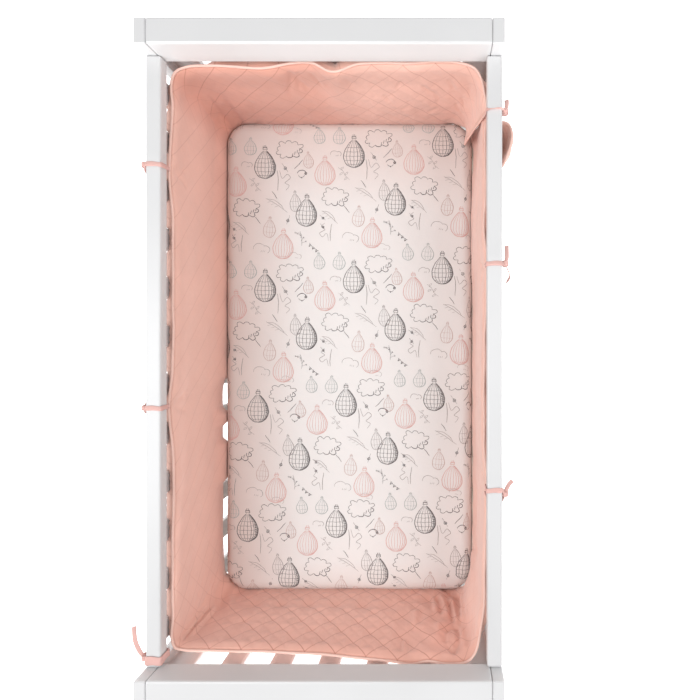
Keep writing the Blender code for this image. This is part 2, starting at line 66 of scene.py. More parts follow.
# Quilted pad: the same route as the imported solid's. Going counter-clockwise from the free end at the
# head's right corner, top and low are points of its upper and lower edge, belly is how far it bows
# into the crib and loft is how full its quilting is there.
Station = namedtuple("Station", "where top low belly loft")
ROUTE = [
    Station("head end", (0.3580, 0.562, 0.8430), (0.3190, 0.577, 0.6125), 0.003, 0.25),
    Station("head end turn", (0.3540, 0.597, 0.8415), (0.3290, 0.604, 0.6065), 0.004, 0.55),
    Station("head right turn", (0.3440, 0.637, 0.8400), (0.3240, 0.628, 0.6000), 0.006, 0.80),
    Station("head right corner", (0.3220, 0.662, 0.8390), (0.3030, 0.646, 0.5900), 0.010, 0.85),
    Station("head right", (0.2640, 0.673, 0.8400), (0.2500, 0.657, 0.5730), 0.015, 1.00),
    Station("head right half", (0.1800, 0.669, 0.8380), (0.1750, 0.660, 0.5720), 0.017, 1.00),
    Station("head right swell", (0.1350, 0.671, 0.8390), (0.1300, 0.660, 0.5720), 0.017, 1.00),
    Station("head middle", (0.0700, 0.668, 0.8390), (0.0700, 0.659, 0.5720), 0.016, 1.00),
    Station("head dip", (0.0115, 0.653, 0.8340), (0.0120, 0.658, 0.5720), 0.010, 1.00),
    Station("head past dip", (-0.0350, 0.670, 0.8390), (-0.0350, 0.659, 0.5720), 0.014, 1.00),
    Station("head left swell", (-0.0850, 0.668, 0.8390), (-0.0850, 0.660, 0.5720), 0.016, 1.00),
    Station("head left half", (-0.1550, 0.659, 0.8370), (-0.1500, 0.659, 0.5720), 0.016, 1.00),
    Station("head left", (-0.2600, 0.665, 0.8380), (-0.2450, 0.658, 0.5720), 0.014, 1.00),
    Station("head left corner", (-0.3200, 0.660, 0.8390), (-0.3150, 0.653, 0.5720), 0.005, 0.80),
    Station("left head corner", (-0.3500, 0.634, 0.8390), (-0.3500, 0.622, 0.5720), 0.003, 0.80),
    Station("left upper", (-0.3540, 0.545, 0.8370), (-0.3560, 0.540, 0.5710), 0.005, 1.00),
    Station("left head tie", (-0.3600, 0.429, 0.8400), (-0.3570, 0.430, 0.5720), 0.004, 1.00),
    Station("left below tie", (-0.3530, 0.310, 0.8370), (-0.3570, 0.310, 0.5710), 0.004, 1.00),
    Station("left centre", (-0.3530, 0.140, 0.8360), (-0.3560, 0.140, 0.5700), 0.005, 1.00),
    Station("left bulge", (-0.3535, -0.010, 0.8370), (-0.3490, -0.025, 0.5720), 0.004, 1.00),
    Station("left mid tie", (-0.3600, -0.102, 0.8400), (-0.3580, -0.105, 0.5710), 0.003, 1.00),
    Station("left past tie", (-0.3520, -0.240, 0.8360), (-0.3570, -0.240, 0.5710), 0.004, 1.00),
    Station("left lower", (-0.3530, -0.420, 0.8370), (-0.3570, -0.420, 0.5710), 0.004, 1.00),
    Station("left foot", (-0.3530, -0.560, 0.8370), (-0.3550, -0.550, 0.5720), 0.004, 1.00),
    Station("left foot corner", (-0.3490, -0.634, 0.8390), (-0.3440, -0.624, 0.5720), 0.002, 0.75),
    Station("foot left corner", (-0.3200, -0.651, 0.8390), (-0.3080, -0.653, 0.5720), 0.003, 0.75),
    Station("foot left", (-0.2200, -0.654, 0.8370), (-0.2100, -0.659, 0.5710), 0.011, 1.00),
    Station("foot left half", (-0.1000, -0.657, 0.8380), (-0.1000, -0.660, 0.5710), 0.013, 1.00),
    Station("foot middle", (0.0200, -0.663, 0.8400), (0.0200, -0.660, 0.5710), 0.014, 1.00),
    Station("foot right half", (0.1400, -0.672, 0.8450), (0.1400, -0.660, 0.5720), 0.014, 1.00),
    Station("foot right swell", (0.1880, -0.676, 0.8480), (0.1800, -0.660, 0.5720), 0.013, 1.00),
    Station("foot right dip", (0.2250, -0.671, 0.8470), (0.2150, -0.659, 0.5730), 0.012, 1.00),
    Station("foot right", (0.2650, -0.676, 0.8490), (0.2450, -0.658, 0.5740), 0.010, 0.95),
    Station("foot right corner", (0.3060, -0.674, 0.8480), (0.2840, -0.657, 0.5760), 0.006, 0.85),
    Station("corner turn", (0.3270, -0.660, 0.8450), (0.3080, -0.649, 0.5880), 0.006, 0.80),
    Station("right foot corner", (0.3380, -0.636, 0.8420), (0.3240, -0.626, 0.5980), 0.008, 0.80),
    Station("right foot", (0.3460, -0.592, 0.8400), (0.3400, -0.575, 0.6010), 0.008, 0.90),
    Station("right above foot", (0.3520, -0.530, 0.8380), (0.3550, -0.518, 0.5820), 0.002, 1.00),
    Station("right lower", (0.3550, -0.410, 0.8360), (0.3580, -0.410, 0.5710), 0.001, 1.00),
    Station("right foot tie", (0.3600, -0.281, 0.8400), (0.3570, -0.280, 0.5710), 0.003, 1.00),
    Station("right past tie", (0.3520, -0.200, 0.8370), (0.3570, -0.200, 0.5710), 0.003, 1.00),
    Station("right centre", (0.3530, 0.020, 0.8360), (0.3570, 0.020, 0.5710), 0.003, 1.00),
    Station("right before tie", (0.3560, 0.140, 0.8370), (0.3570, 0.140, 0.5710), 0.004, 1.00),
    Station("right mid tie", (0.3600, 0.213, 0.8400), (0.3570, 0.210, 0.5710), 0.008, 1.00),
    Station("right above tie", (0.3520, 0.295, 0.8370), (0.3570, 0.290, 0.5710), 0.011, 1.00),
    Station("right upper", (0.3550, 0.380, 0.8360), (0.3570, 0.380, 0.5710), 0.011, 1.00),
    Station("right near exit", (0.3550, 0.460, 0.8280), (0.3570, 0.460, 0.5710), 0.006, 0.80),
    Station("exit in", (0.3560, 0.516, 0.8080), (0.3570, 0.518, 0.5710), 0.000, 0.40),
    Station("exit half in", (0.3615, 0.544, 0.7940), (0.3615, 0.543, 0.5710), 0.000, 0.30),
    Station("exit", (0.3735, 0.5545, 0.7920), (0.3735, 0.554, 0.5710), 0.000, 0.30),
    Station("exit half out", (0.3880, 0.5540, 0.7980), (0.3870, 0.552, 0.5710), 0.000, 0.35),
    Station("outside", (0.4020, 0.5430, 0.8110), (0.3920, 0.541, 0.5710), 0.000, 0.60),
    Station("outside bow", (0.4080, 0.5080, 0.8290), (0.3930, 0.511, 0.5710), 0.002, 0.80),
    Station("outside end", (0.3970, 0.460, 0.8290), (0.3900, 0.472, 0.5710), 0.000, 0.40),
]
ROUTE_STEPS = 24
BELLY_SHAPE = 6.75

# The quilting counts half diamonds along and up the pad, each of CELLS grid cells. STITCH is how far each
# cloth stands off the pad's middle on a seam, CROWN how much further between seams.
HALF_DIAMONDS_LONG = 116
HALF_DIAMONDS_HIGH = 8
CELLS = 4
FRONT_STITCH = 0.0060
BACK_STITCH = 0.0026
FRONT_CROWN = 0.0042
BACK_CROWN = 0.0012
START_CROWN = 0.35
RIM_HALF = 0.0024
RIM_WIDE = 0.012
CROWN_CAP = 0.0050
SEAM_DEEP = 0.0012
SEAM_HALF = 0.034
CRUMPLE_DEEP = 0.0009
LEAST_PUFF = 0.0006

# How the pad's foot leans on the sheet: how far at most, what it leaves clear of it, how far it drops
# and over which share of the height.
TUCK_REACH = 0.024
TUCK_CLEAR = 0.0022
TUCK_DROP = 0.006
TUCK_SHARE = 0.30
TUCK_ROUNDING = 0.006
RAISED_FOOT = 0.599

# The crest: it leans off the left rail, and its back cloth swells to the slats and past them.
CREST_LEAN = 0.0035
CREST_DROP = 0.0055
CREST_SHARE = 0.985
SLAT_FACE = 0.365
END_SLAT_FACE = 0.687
FACE_CLEAR = 0.0012
SWELL_PAST_SLAT = 0.008
END_SWELL = 0.022
SLAT_ROW_STEP = 0.110
SLAT_EDGE_NEAR = 0.205
SLAT_EDGE_PAST = 0.262

# Where the pad leaves the crib it folds back towards the head behind its free end, more at its foot,
# and outside the rail it swells.
EXIT_FOLD = 0.105
EXIT_AHEAD = 0.004
EXIT_WIDE = (0.022, 0.009)
EXIT_EASE = 0.72
OUTSIDE_FROM = 0.385
OUTSIDE_SWELL = 0.008

PIPING_R = 0.0029
PIPING_OFF = 0.0036
PIPING_SIDES = 10

# The cloth simulation that fills the quilting
SIM_FRAMES = 20
SIM_QUALITY = 5
SIM_MASS = 0.25
SIM_STRETCH = 12.0
SIM_SHEAR = 4.0
SIM_BEND = 0.15
SIM_DAMPING = 2.0
SIM_SHRINK = -0.055
SIM_PRESSURE = 4.0

# Creases in the pad. Each starts du metres along from a station at height share v and runs to du_to, v_to; deep is
# positive for a trough and negative for a ridge.
Crease = namedtuple("Crease", "where du v du_to v_to deep wide")
CREASES = [
    Crease("foot right corner", -0.036, 0.02, 0.000, 0.16, 0.0045, 0.006),
    Crease("foot right corner", 0.000, 0.16, 0.027, 0.18, 0.0045, 0.006),
    Crease("foot right corner", -0.070, 0.22, -0.062, 0.40, 0.0035, 0.006),
    Crease("foot right corner", -0.060, 0.18, -0.054, 0.42, -0.0045, 0.007),
    Crease("foot right corner", -0.047, 0.20, -0.040, 0.46, 0.0050, 0.006),
    Crease("foot right corner", -0.034, 0.16, -0.020, 0.46, -0.0060, 0.007),
    Crease("foot right corner", -0.016, 0.26, -0.010, 0.56, 0.0050, 0.006),
    Crease("foot right corner", -0.004, 0.20, 0.002, 0.54, -0.0060, 0.008),
    Crease("foot right corner", 0.024, 0.16, 0.020, 0.36, 0.0050, 0.006),
    Crease("foot right corner", 0.036, 0.20, 0.026, 0.56, -0.0045, 0.009),
    Crease("foot right corner", -0.036, 0.69, -0.014, 0.60, 0.0060, 0.005),
    Crease("foot right corner", -0.014, 0.60, 0.001, 0.66, 0.0060, 0.005),
    Crease("foot right corner", 0.001, 0.66, -0.004, 0.80, 0.0050, 0.005),
    Crease("foot right corner", -0.004, 0.80, -0.022, 0.93, 0.0060, 0.005),
    Crease("foot right corner", -0.022, 0.93, -0.037, 0.80, 0.0050, 0.005),
    Crease("foot right corner", -0.037, 0.80, -0.036, 0.69, 0.0050, 0.005),
    Crease("foot right corner", 0.014, 0.62, 0.010, 0.94, -0.0050, 0.009),
    Crease("foot right corner", -0.048, 0.56, -0.056, 0.78, -0.0035, 0.009),
    Crease("foot right corner", -0.135, 0.76, -0.137, 0.93, 0.0030, 0.005),
    Crease("foot right corner", -0.121, 0.76, -0.122, 0.94, 0.0030, 0.005),
    Crease("foot right corner", -0.128, 0.78, -0.129, 0.93, -0.0022, 0.005),
    Crease("foot right corner", -0.102, 0.40, -0.106, 0.62, -0.0026, 0.008),
    Crease("foot right corner", -0.088, 0.40, -0.092, 0.62, 0.0024, 0.008),
    Crease("left foot corner", -0.010, 0.50, 0.006, 0.97, 0.0050, 0.006),
    Crease("left foot corner", 0.002, 0.48, 0.012, 0.96, -0.0045, 0.006),
    Crease("left foot corner", 0.012, 0.46, 0.020, 0.95, 0.0050, 0.006),
    Crease("left foot corner", 0.024, 0.40, 0.028, 0.93, -0.0040, 0.007),
    Crease("left foot corner", 0.036, 0.34, 0.036, 0.90, 0.0040, 0.007),
    Crease("left foot corner", -0.030, 0.30, -0.006, 0.62, 0.0030, 0.008),
    Crease("left foot corner", 0.006, 0.06, 0.040, 0.42, 0.0030, 0.008),
    Crease("left foot corner", 0.030, 0.04, 0.066, 0.44, -0.0030, 0.009),
    Crease("head left corner", 0.018, 0.04, 0.006, 0.62, 0.0044, 0.008),
    Crease("head left corner", -0.020, 0.02, -0.034, 0.60, 0.0036, 0.008),
    Crease("head left corner", 0.052, 0.06, 0.030, 0.72, 0.0036, 0.008),
    Crease("head left corner", -0.062, 0.04, -0.100, 0.58, 0.0030, 0.009),
    Crease("head left corner", 0.030, 0.66, 0.060, 0.84, 0.0026, 0.006),
    Crease("head left swell", 0.012, 0.96, -0.020, 0.66, 0.0036, 0.006),
    Crease("head left swell", 0.004, 0.94, 0.034, 0.62, 0.0036, 0.006),
    Crease("head left swell", -0.014, 0.95, 0.006, 0.70, 0.0030, 0.005),
    Crease("head left swell", -0.036, 0.92, -0.058, 0.72, 0.0026, 0.005),
    Crease("head dip", 0.000, 0.98, 0.030, 0.74, 0.0030, 0.008),
    Crease("head dip", -0.010, 0.97, -0.036, 0.76, 0.0028, 0.008),
    Crease("head right half", 0.016, 0.80, 0.030, 0.70, 0.0034, 0.005),
    Crease("head right half", 0.064, 0.62, 0.050, 0.52, 0.0030, 0.005),
    Crease("head right half", -0.030, 0.74, -0.052, 0.62, 0.0034, 0.005),
    Crease("head right half", 0.000, 0.46, 0.024, 0.38, 0.0026, 0.005),
    Crease("head right", -0.010, 0.82, -0.030, 0.68, 0.0034, 0.005),
    Crease("head right", 0.026, 0.66, 0.006, 0.54, 0.0030, 0.005),
    Crease("head right", 0.010, 0.40, 0.034, 0.32, 0.0028, 0.005),
    Crease("head right", -0.052, 0.58, -0.070, 0.46, 0.0030, 0.005),
    Crease("head right corner", -0.012, 0.76, -0.030, 0.56, 0.0032, 0.006),
    Crease("head right corner", 0.018, 0.48, 0.000, 0.34, 0.0028, 0.005),
    Crease("right mid tie", -0.008, 0.99, 0.014, 0.72, 0.0075, 0.005),
    Crease("right mid tie", -0.004, 0.97, -0.026, 0.76, 0.0030, 0.008),
    Crease("right foot tie", 0.002, 0.98, 0.020, 0.78, 0.0040, 0.007),
    Crease("left head tie", 0.000, 0.98, 0.016, 0.76, 0.0034, 0.008),
    Crease("left head tie", -0.004, 0.98, -0.022, 0.78, 0.0034, 0.008),
    Crease("left mid tie", 0.002, 0.98, 0.018, 0.78, 0.0034, 0.008),
    Crease("left mid tie", -0.004, 0.98, -0.020, 0.80, 0.0030, 0.008),
    Crease("right above foot", -0.010, 0.06, 0.030, 0.40, 0.0036, 0.010),
    Crease("outside", 0.006, 0.98, 0.026, 0.62, 0.0050, 0.006),
    Crease("outside", 0.034, 0.98, 0.040, 0.58, 0.0046, 0.006),
    Crease("outside bow", 0.020, 0.98, 0.006, 0.66, 0.0046, 0.006),
]

# How the quilting shows along the pad: plus and minus are the strengths of the seams that rise against
# and along the way round, puff is how full the diamonds stand.
Look = namedtuple("Look", "where plus minus puff")
LOOKS = [
    Look("head end", 0.25, 0.60, 0.50),
    Look("head right", 0.25, 0.80, 0.85),
    Look("head right swell", 0.40, 0.75, 0.85),
    Look("head dip", 0.55, 0.40, 0.50),
    Look("head left swell", 0.60, 0.30, 0.70),
    Look("head left corner", 0.80, 0.30, 0.40),
    Look("left upper", 0.12, 0.45, 0.25),
    Look("left centre", 0.05, 0.32, 0.18),
    Look("left lower", 0.05, 0.35, 0.20),
    Look("left foot corner", 0.45, 0.60, 0.50),
    Look("foot left", 0.70, 1.00, 1.25),
    Look("foot right half", 0.85, 1.00, 1.30),
    Look("foot right corner", 0.70, 0.80, 1.20),
    Look("right foot", 0.12, 0.15, 0.20),
    Look("right centre", 0.06, 0.12, 0.15),
    Look("right upper", 0.15, 0.30, 0.25),
    Look("exit", 0.40, 0.40, 0.50),
    Look("outside end", 0.60, 0.60, 0.60),
]

# The floor shows between the mattress and the pad along these stretches of the left wall (y to y),
# where the pad's foot stands clear; elsewhere it leans on the sheet.
CLEAR_STRETCHES = [(-0.149, -0.060), (-0.233, -0.188), (-0.610, -0.344)]

# Ties: along is where the band crosses the rail, low_along where its lower strand passes, twist its
# turns over the rail. A tail's points leave the knot: out from the rail, along +Y, up +Z.
RAIL_IN = 0.3555
RAIL_OUT = 0.3885
RAIL_TOP = 0.880
RAIL_LOW = 0.852
TIE_WIDE = 0.011
TIE_THICK = 0.0012
TIE_OFF = 0.0020
KNOT_OUT = 0.0075
KNOT_DROP = 0.012
CREST_AT = 0.8455
KNOT_CORE = (0.0052, 0.0066, 0.0058)
KNOT_RINGS = 9
KNOT_AROUND = 14
WRAP_STEPS = 25
WRAP_HALF = (0.0062, 0.0060, 0.0072)
WRAP_WIDE = 0.0072
WRAP_THICK = 0.0013
WRAPS = [(0.0, 0.5), (0.0022, -0.45)]
STRIP_OUTLINE = [(-1.0, 0.0), (-0.86, 0.5), (0.0, 0.62), (0.86, 0.5),
                 (1.0, 0.0), (0.86, -0.5), (0.0, -0.38), (-0.86, -0.5)]
Tail = namedtuple("Tail", "out along up")
Tie = namedtuple("Tie", "name side along low_along wide twist tails")
TIES = [
    Tie("tie_left_head", -1, 0.429, 0.432, TIE_WIDE, 0.02, [
        [Tail(0.004, 0.008, -0.010), Tail(0.003, 0.012, -0.035), Tail(0.002, 0.009, -0.066)],
        [Tail(0.004, -0.008, -0.010), Tail(0.003, -0.011, -0.032), Tail(0.002, -0.016, -0.058)]]),
    Tie("tie_left_mid", -1, -0.102, -0.106, TIE_WIDE, 0.05, [
        [Tail(0.004, 0.008, -0.010), Tail(0.003, 0.013, -0.033), Tail(0.002, 0.015, -0.060)],
        [Tail(0.004, -0.008, -0.010), Tail(0.003, -0.009, -0.034), Tail(0.002, -0.005, -0.066)]]),
    Tie("tie_left_foot", -1, -0.6515, -0.6515, 0.020, 0.0, [
        [Tail(0.010, 0.014, 0.002), Tail(0.023, 0.036, -0.002), Tail(0.033, 0.060, -0.014)],
        [Tail(0.006, -0.008, -0.010), Tail(0.005, -0.014, -0.032), Tail(0.004, -0.016, -0.058)]]),
    Tie("tie_right_head", 1, 0.549, 0.547, TIE_WIDE - 0.002, 0.5, [
        [Tail(0.003, 0.009, -0.010), Tail(0.003, 0.013, -0.030), Tail(0.003, 0.018, -0.050)],
        [Tail(0.003, 0.013, 0.002), Tail(0.004, 0.026, -0.004), Tail(0.004, 0.034, -0.018)]]),
    Tie("tie_right_mid", 1, 0.213, 0.216, TIE_WIDE, 0.06, [
        [Tail(0.003, 0.012, 0.002), Tail(0.004, 0.026, -0.004), Tail(0.005, 0.042, -0.014)],
        [Tail(0.005, -0.010, -0.004), Tail(0.012, -0.026, -0.014), Tail(0.008, -0.036, -0.040)]]),
    Tie("tie_right_foot", 1, -0.281, -0.3075, TIE_WIDE, 0.0, [
        [Tail(0.002, 0.010, 0.002), Tail(0.008, 0.020, -0.002), Tail(0.0175, 0.026, -0.012)],
        [Tail(0.005, -0.006, -0.012), Tail(0.004, -0.010, -0.034), Tail(0.003, -0.012, -0.060)]]),
]

# Mattress and sheet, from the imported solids
MATTRESS_CORNER = 0.060
MATTRESS_EDGE = 0.030
MATTRESS_INSET = 0.0030
SHEET_CELL = 0.0055
SHEET_HEM = 0.058
SHEET_LIFT = 0.0016
SHEET_SLACK = 0.0014
SHEET_SHRINK = 0.0004
MATTRESS_CELL = 0.020
MATTRESS_HEM = 0.300
WELD_REACH = 0.00005

# The sheet's print: where its rows of repeats start and how far apart they stand along the row, then one
# repeat, in millimetres from its first dark balloon, x to the right and y towards the foot. Every motif
# hangs with its top towards the foot.
PrintRow = namedtuple("PrintRow", "x y across_x across_y")
PRINT_ROWS = [
    PrintRow(0.0170, 0.8920, 0.2425, 0.0310),
    PrintRow(0.0170, 0.5530, 0.2425, 0.0300),
    PrintRow(0.0165, 0.2110, 0.2415, 0.0240),
    PrintRow(-0.0045, -0.1260, 0.2400, 0.0160),
    PrintRow(-0.0310, -0.4560, 0.2420, 0.0110),
    PrintRow(-0.0580, -0.7860, 0.2420, 0.0070),
]
INK_LIFT = 0.00035
Motif = namedtuple("Motif", "kind x y wide high lean ink")
REPEAT = [
    Motif("balloon_net", 0, 0, 57, 74, 0, "dark"),
    Motif("balloon_net", 113, 131, 56, 73, 2, "dark"),
    Motif("balloon_gores", -79, 52, 55, 67, 0, "pink"),
    Motif("balloon_gores", 49, 222, 55, 68, 2, "pink"),
    Motif("cloud", 66, -42, 68, 46, -4, "dark"),
    Motif("cloud", -52, 117, 66, 48, 3, "dark"),
    Motif("cloud_open", -50, 0, 30, 20, -6, "grey"),
    Motif("cloud_open", -10, 228, 46, 30, 5, "grey"),
    Motif("cloud_open", -160, -64, 34, 20, 5, "pale"),
    Motif("balloon_small", -94, -47, 30, 38, -4, "sea"),
    Motif("balloon_small", -40, -47, 33, 40, 2, "sea"),
    Motif("balloon_small", 83, 104, 30, 48, -3, "grey"),
    Motif("balloon_small", 12, 174, 33, 48, 4, "rose"),
    Motif("balloon_small", -124, 20, 27, 38, -4, "rose"),
    Motif("bird", 100, 24, 26, 24, 0, "dark"),
    Motif("kite", 54, 7, 16, 28, -35, "dark"),
    Motif("kite", 63, 150, 14, 26, 20, "dark"),
    Motif("kite", 157, 144, 12, 20, -50, "dark"),
    Motif("kite", 157, 168, 12, 20, -38, "dark"),
    Motif("dash", 92, -2, 6, 34, 43, "dark"),
    Motif("dash", 26, 82, 5, 24, -35, "dark"),
    Motif("dash", -20, 151, 5, 24, -38, "dark"),
    Motif("twig", -27, 54, 22, 46, -42, "grey"),
    Motif("feather", 32, 110, 20, 70, -58, "grey"),
    Motif("feather", -66, 172, 20, 56, -52, "grey"),
    Motif("ribbon", 52, 42, 42, 60, 0, "grey"),
    Motif("ribbon", -78, 212, 36, 52, 186, "grey"),
    Motif("spray", 98, 200, 30, 40, -8, "dark"),
    Motif("bunting", 134, 224, 34, 14, 40, "dark"),
]
INKS = {"dark": (0.060, 0.050, 0.052), "grey": (0.30, 0.265, 0.26), "pale": (0.44, 0.40, 0.39),
        "pink": (0.66, 0.36, 0.33), "rose": (0.52, 0.36, 0.33), "sea": (0.33, 0.37, 0.36)}

# Colours
QUILT = (0.860, 0.530, 0.440)
PIPING = (0.880, 0.590, 0.510)
TIE_PINK = (0.720, 0.440, 0.400)
SHEET_WHITE = (0.760, 0.750, 0.740)
# The next two are tints of painted shade and painted pink reflected light, multiplied into the quilt's and the sheet's
# colour near the walls.
QUILT_PAINTED_SHADE = (0.82, 0.64, 0.59)
SHEET_PAINTED_SHADE = (0.86, 0.74, 0.70)
PAINT = (0.650, 0.650, 0.655)
BOARD = (0.62, 0.55, 0.45)
TICKING = (0.84, 0.83, 0.80)
STRIPE = (0.62, 0.66, 0.70)
SEAM_SHADE = (0.66, 0.51, 0.47)
PLAIN_WHITE = (1.0, 1.0, 1.0)
FLOOR = (0.90, 0.90, 0.90)

# ---------------------------------------------------------------- materials

def new_material(name, color, rough):
    made = bpy.data.materials.new(name)
    made.use_nodes = True
    nodes, links = made.node_tree.nodes, made.node_tree.links
    shader = nodes["Principled BSDF"]
    shader.inputs["Base Color"].default_value = (*color, 1.0)
    shader.inputs["Roughness"].default_value = rough
    return made, nodes, links, shader


def math_node(nodes, links, operation, a, b=None):
    node = nodes.new("ShaderNodeMath")
    node.operation = operation
    for n, value in enumerate((a, b)):
        if value is None:
            continue
        if isinstance(value, (int, float)):
            node.inputs[n].default_value = value
        else:
            links.new(value, node.inputs[n])
    return node.outputs[0]


def noise_of(nodes, links, vector, scale, detail=3.0, rough=0.55):
    node = nodes.new("ShaderNodeTexNoise")
    node.inputs["Scale"].default_value = scale
    node.inputs["Detail"].default_value = detail
    node.inputs["Roughness"].default_value = rough
    links.new(vector, node.inputs["Vector"])
    return node.outputs["Fac"]


def mapped(nodes, links, factor, low, high, out_low, out_high):
    node = nodes.new("ShaderNodeMapRange")
    for socket, value in zip(("From Min", "From Max", "To Min", "To Max"), (low, high, out_low, out_high)):
        node.inputs[socket].default_value = value
    links.new(factor, node.inputs["Value"])
    return node.outputs["Result"]


def tinted(nodes, links, factor, low_color, high_color):
    ramp = nodes.new("ShaderNodeValToRGB")
    ramp.color_ramp.elements[0].color = (*low_color, 1.0)
    ramp.color_ramp.elements[1].color = (*high_color, 1.0)
    links.new(factor, ramp.inputs["Fac"])
    return ramp.outputs["Color"]


def bumped(nodes, links, shader, layers):
    """Chains (height, distance in metres, strength) layers of bump into the shader."""
    normal = None
    for height, distance, strength in layers:
        bump = nodes.new("ShaderNodeBump")
        bump.inputs["Distance"].default_value = distance
        bump.inputs["Strength"].default_value = strength
        links.new(height, bump.inputs["Height"])
        if normal is not None:
            links.new(normal, bump.inputs["Normal"])
        normal = bump.outputs["Normal"]
    links.new(normal, shader.inputs["Normal"])


def shade(color, by):
    return tuple(min(1.0, c * by) for c in color)


def weave_height(nodes, links, vector, threads):
    """Crossing threads, threads to a metre, as a height from 0 to 1."""
    total = None
    for axis in ("X", "Y"):
        wave = nodes.new("ShaderNodeTexWave")
        wave.bands_direction = axis
        wave.inputs["Scale"].default_value = threads / math.tau
        wave.inputs["Distortion"].default_value = 1.2
        wave.inputs["Detail"].default_value = 1.0
        links.new(vector, wave.inputs["Vector"])
        threads_in = wave.outputs["Fac"]
        total = threads_in if total is None else math_node(nodes, links, "MULTIPLY", total, threads_in)
    return total


def object_vector(nodes):
    return nodes.new("ShaderNodeTexCoord").outputs["Object"]


def separated(nodes, links, vector):
    parts = nodes.new("ShaderNodeSeparateXYZ")
    links.new(vector, parts.inputs[0])
    return parts.outputs


def uv_parts(nodes, links, name):
    uv = nodes.new("ShaderNodeUVMap")
    uv.uv_map = name
    return separated(nodes, links, uv.outputs["UV"])


def multiply_node(nodes):
    mix = nodes.new("ShaderNodeMix")
    mix.data_type = "RGBA"
    mix.blend_type = "MULTIPLY"
    return mix


def with_painted_shade(nodes, links, color, blush, factor):
    """The colour multiplied by a tint of painted shade and painted reflected light, as far as the factor says."""
    mix = multiply_node(nodes)
    links.new(factor, mix.inputs["Factor"])
    links.new(color, mix.inputs["A"])
    mix.inputs["B"].default_value = (*blush, 1.0)
    return mix.outputs["Result"]


def seam_lines(nodes, links):
    """1 on the sewn lines both ways: the UV map cloth counts half diamonds, seams holds their strengths."""
    parts = uv_parts(nodes, links, "cloth")
    weights = uv_parts(nodes, links, "seams")
    seam = None
    for sign, weight in (("ADD", "X"), ("SUBTRACT", "Y")):
        across = math_node(nodes, links, sign, parts["X"], parts["Y"])
        turn = math_node(nodes, links, "FRACT", math_node(nodes, links, "MULTIPLY_ADD", across, 0.5))
        off = math_node(nodes, links, "ABSOLUTE", math_node(nodes, links, "SUBTRACT", turn, 0.5))
        line = mapped(nodes, links, off, 0.5 - SEAM_HALF, 0.5, 0.0, 1.0)
        line = math_node(nodes, links, "MULTIPLY", line, weights[weight])
        seam = line if seam is None else math_node(nodes, links, "MAXIMUM", seam, line)
    return seam


def quilt_material():
    """Cotton with sewn diamonds, its seam lines darkened with painted shade, and made darker and pinker with painted
    shade and painted pink reflected light at the head's left, at the foot and low down.
    """
    made, nodes, links, shader = new_material("quilt_cotton", QUILT, 0.86)
    shader.inputs["Sheen Weight"].default_value = 0.45
    shader.inputs["Sheen Roughness"].default_value = 0.55
    shader.inputs["Specular IOR Level"].default_value = 0.25
    seam = seam_lines(nodes, links)
    where = object_vector(nodes)
    patch = noise_of(nodes, links, where, 7.0)
    color = tinted(nodes, links, mapped(nodes, links, patch, 0.3, 0.7, 0.0, 1.0),
                   shade(QUILT, 0.95), shade(QUILT, 1.04))
    # Painted shade and painted pink reflected light: the quilt is tinted darker and pinker at the head's left, at the
    # foot and low down.
    places = separated(nodes, links, where)
    by_head = mapped(nodes, links, places["Y"], 0.560, 0.640, 0.0, 1.0)
    by_left = mapped(nodes, links, places["X"], 0.080, -0.080, 0.12, 0.85)
    by_foot = mapped(nodes, links, places["Y"], -0.600, -0.655, 0.0, 0.50)
    by_low = mapped(nodes, links, places["Z"], 0.720, 0.570, 0.0, 0.35)
    ends = math_node(nodes, links, "MAXIMUM", math_node(nodes, links, "MULTIPLY", by_head, by_left), by_foot)
    painted_shade_quilt = with_painted_shade(nodes, links, color, QUILT_PAINTED_SHADE, math_node(nodes, links, "ADD", ends, by_low))
    # Painted shade in the seam troughs: the seam lines multiply the quilt's colour towards SEAM_SHADE.
    mix = multiply_node(nodes)
    mix.inputs["Factor"].default_value = 1.0
    links.new(painted_shade_quilt, mix.inputs["A"])
    links.new(tinted(nodes, links, seam, PLAIN_WHITE, SEAM_SHADE), mix.inputs["B"])
    links.new(mix.outputs["Result"], shader.inputs["Base Color"])
    wrinkle = noise_of(nodes, links, where, 42.0, 4.0, 0.6)
    bumped(nodes, links, shader, [(wrinkle, 0.0022, 0.55),
                                  (weave_height(nodes, links, where, 1500.0), 0.0002, 0.35)])
    return made


def cloth_material(name, color, crumple, threads, sheen=0.15):
    made, nodes, links, shader = new_material(name, color, 0.88)
    shader.inputs["Sheen Weight"].default_value = sheen
    shader.inputs["Specular IOR Level"].default_value = 0.25
    where = object_vector(nodes)
    patch = noise_of(nodes, links, where, 30.0)
    links.new(tinted(nodes, links, patch, shade(color, 0.92), shade(color, 1.06)), shader.inputs["Base Color"])
    bumped(nodes, links, shader, [(noise_of(nodes, links, where, crumple, 4.0), 0.0012, 0.5),
                                  (weave_height(nodes, links, where, threads), 0.0002, 0.4)])
    return made


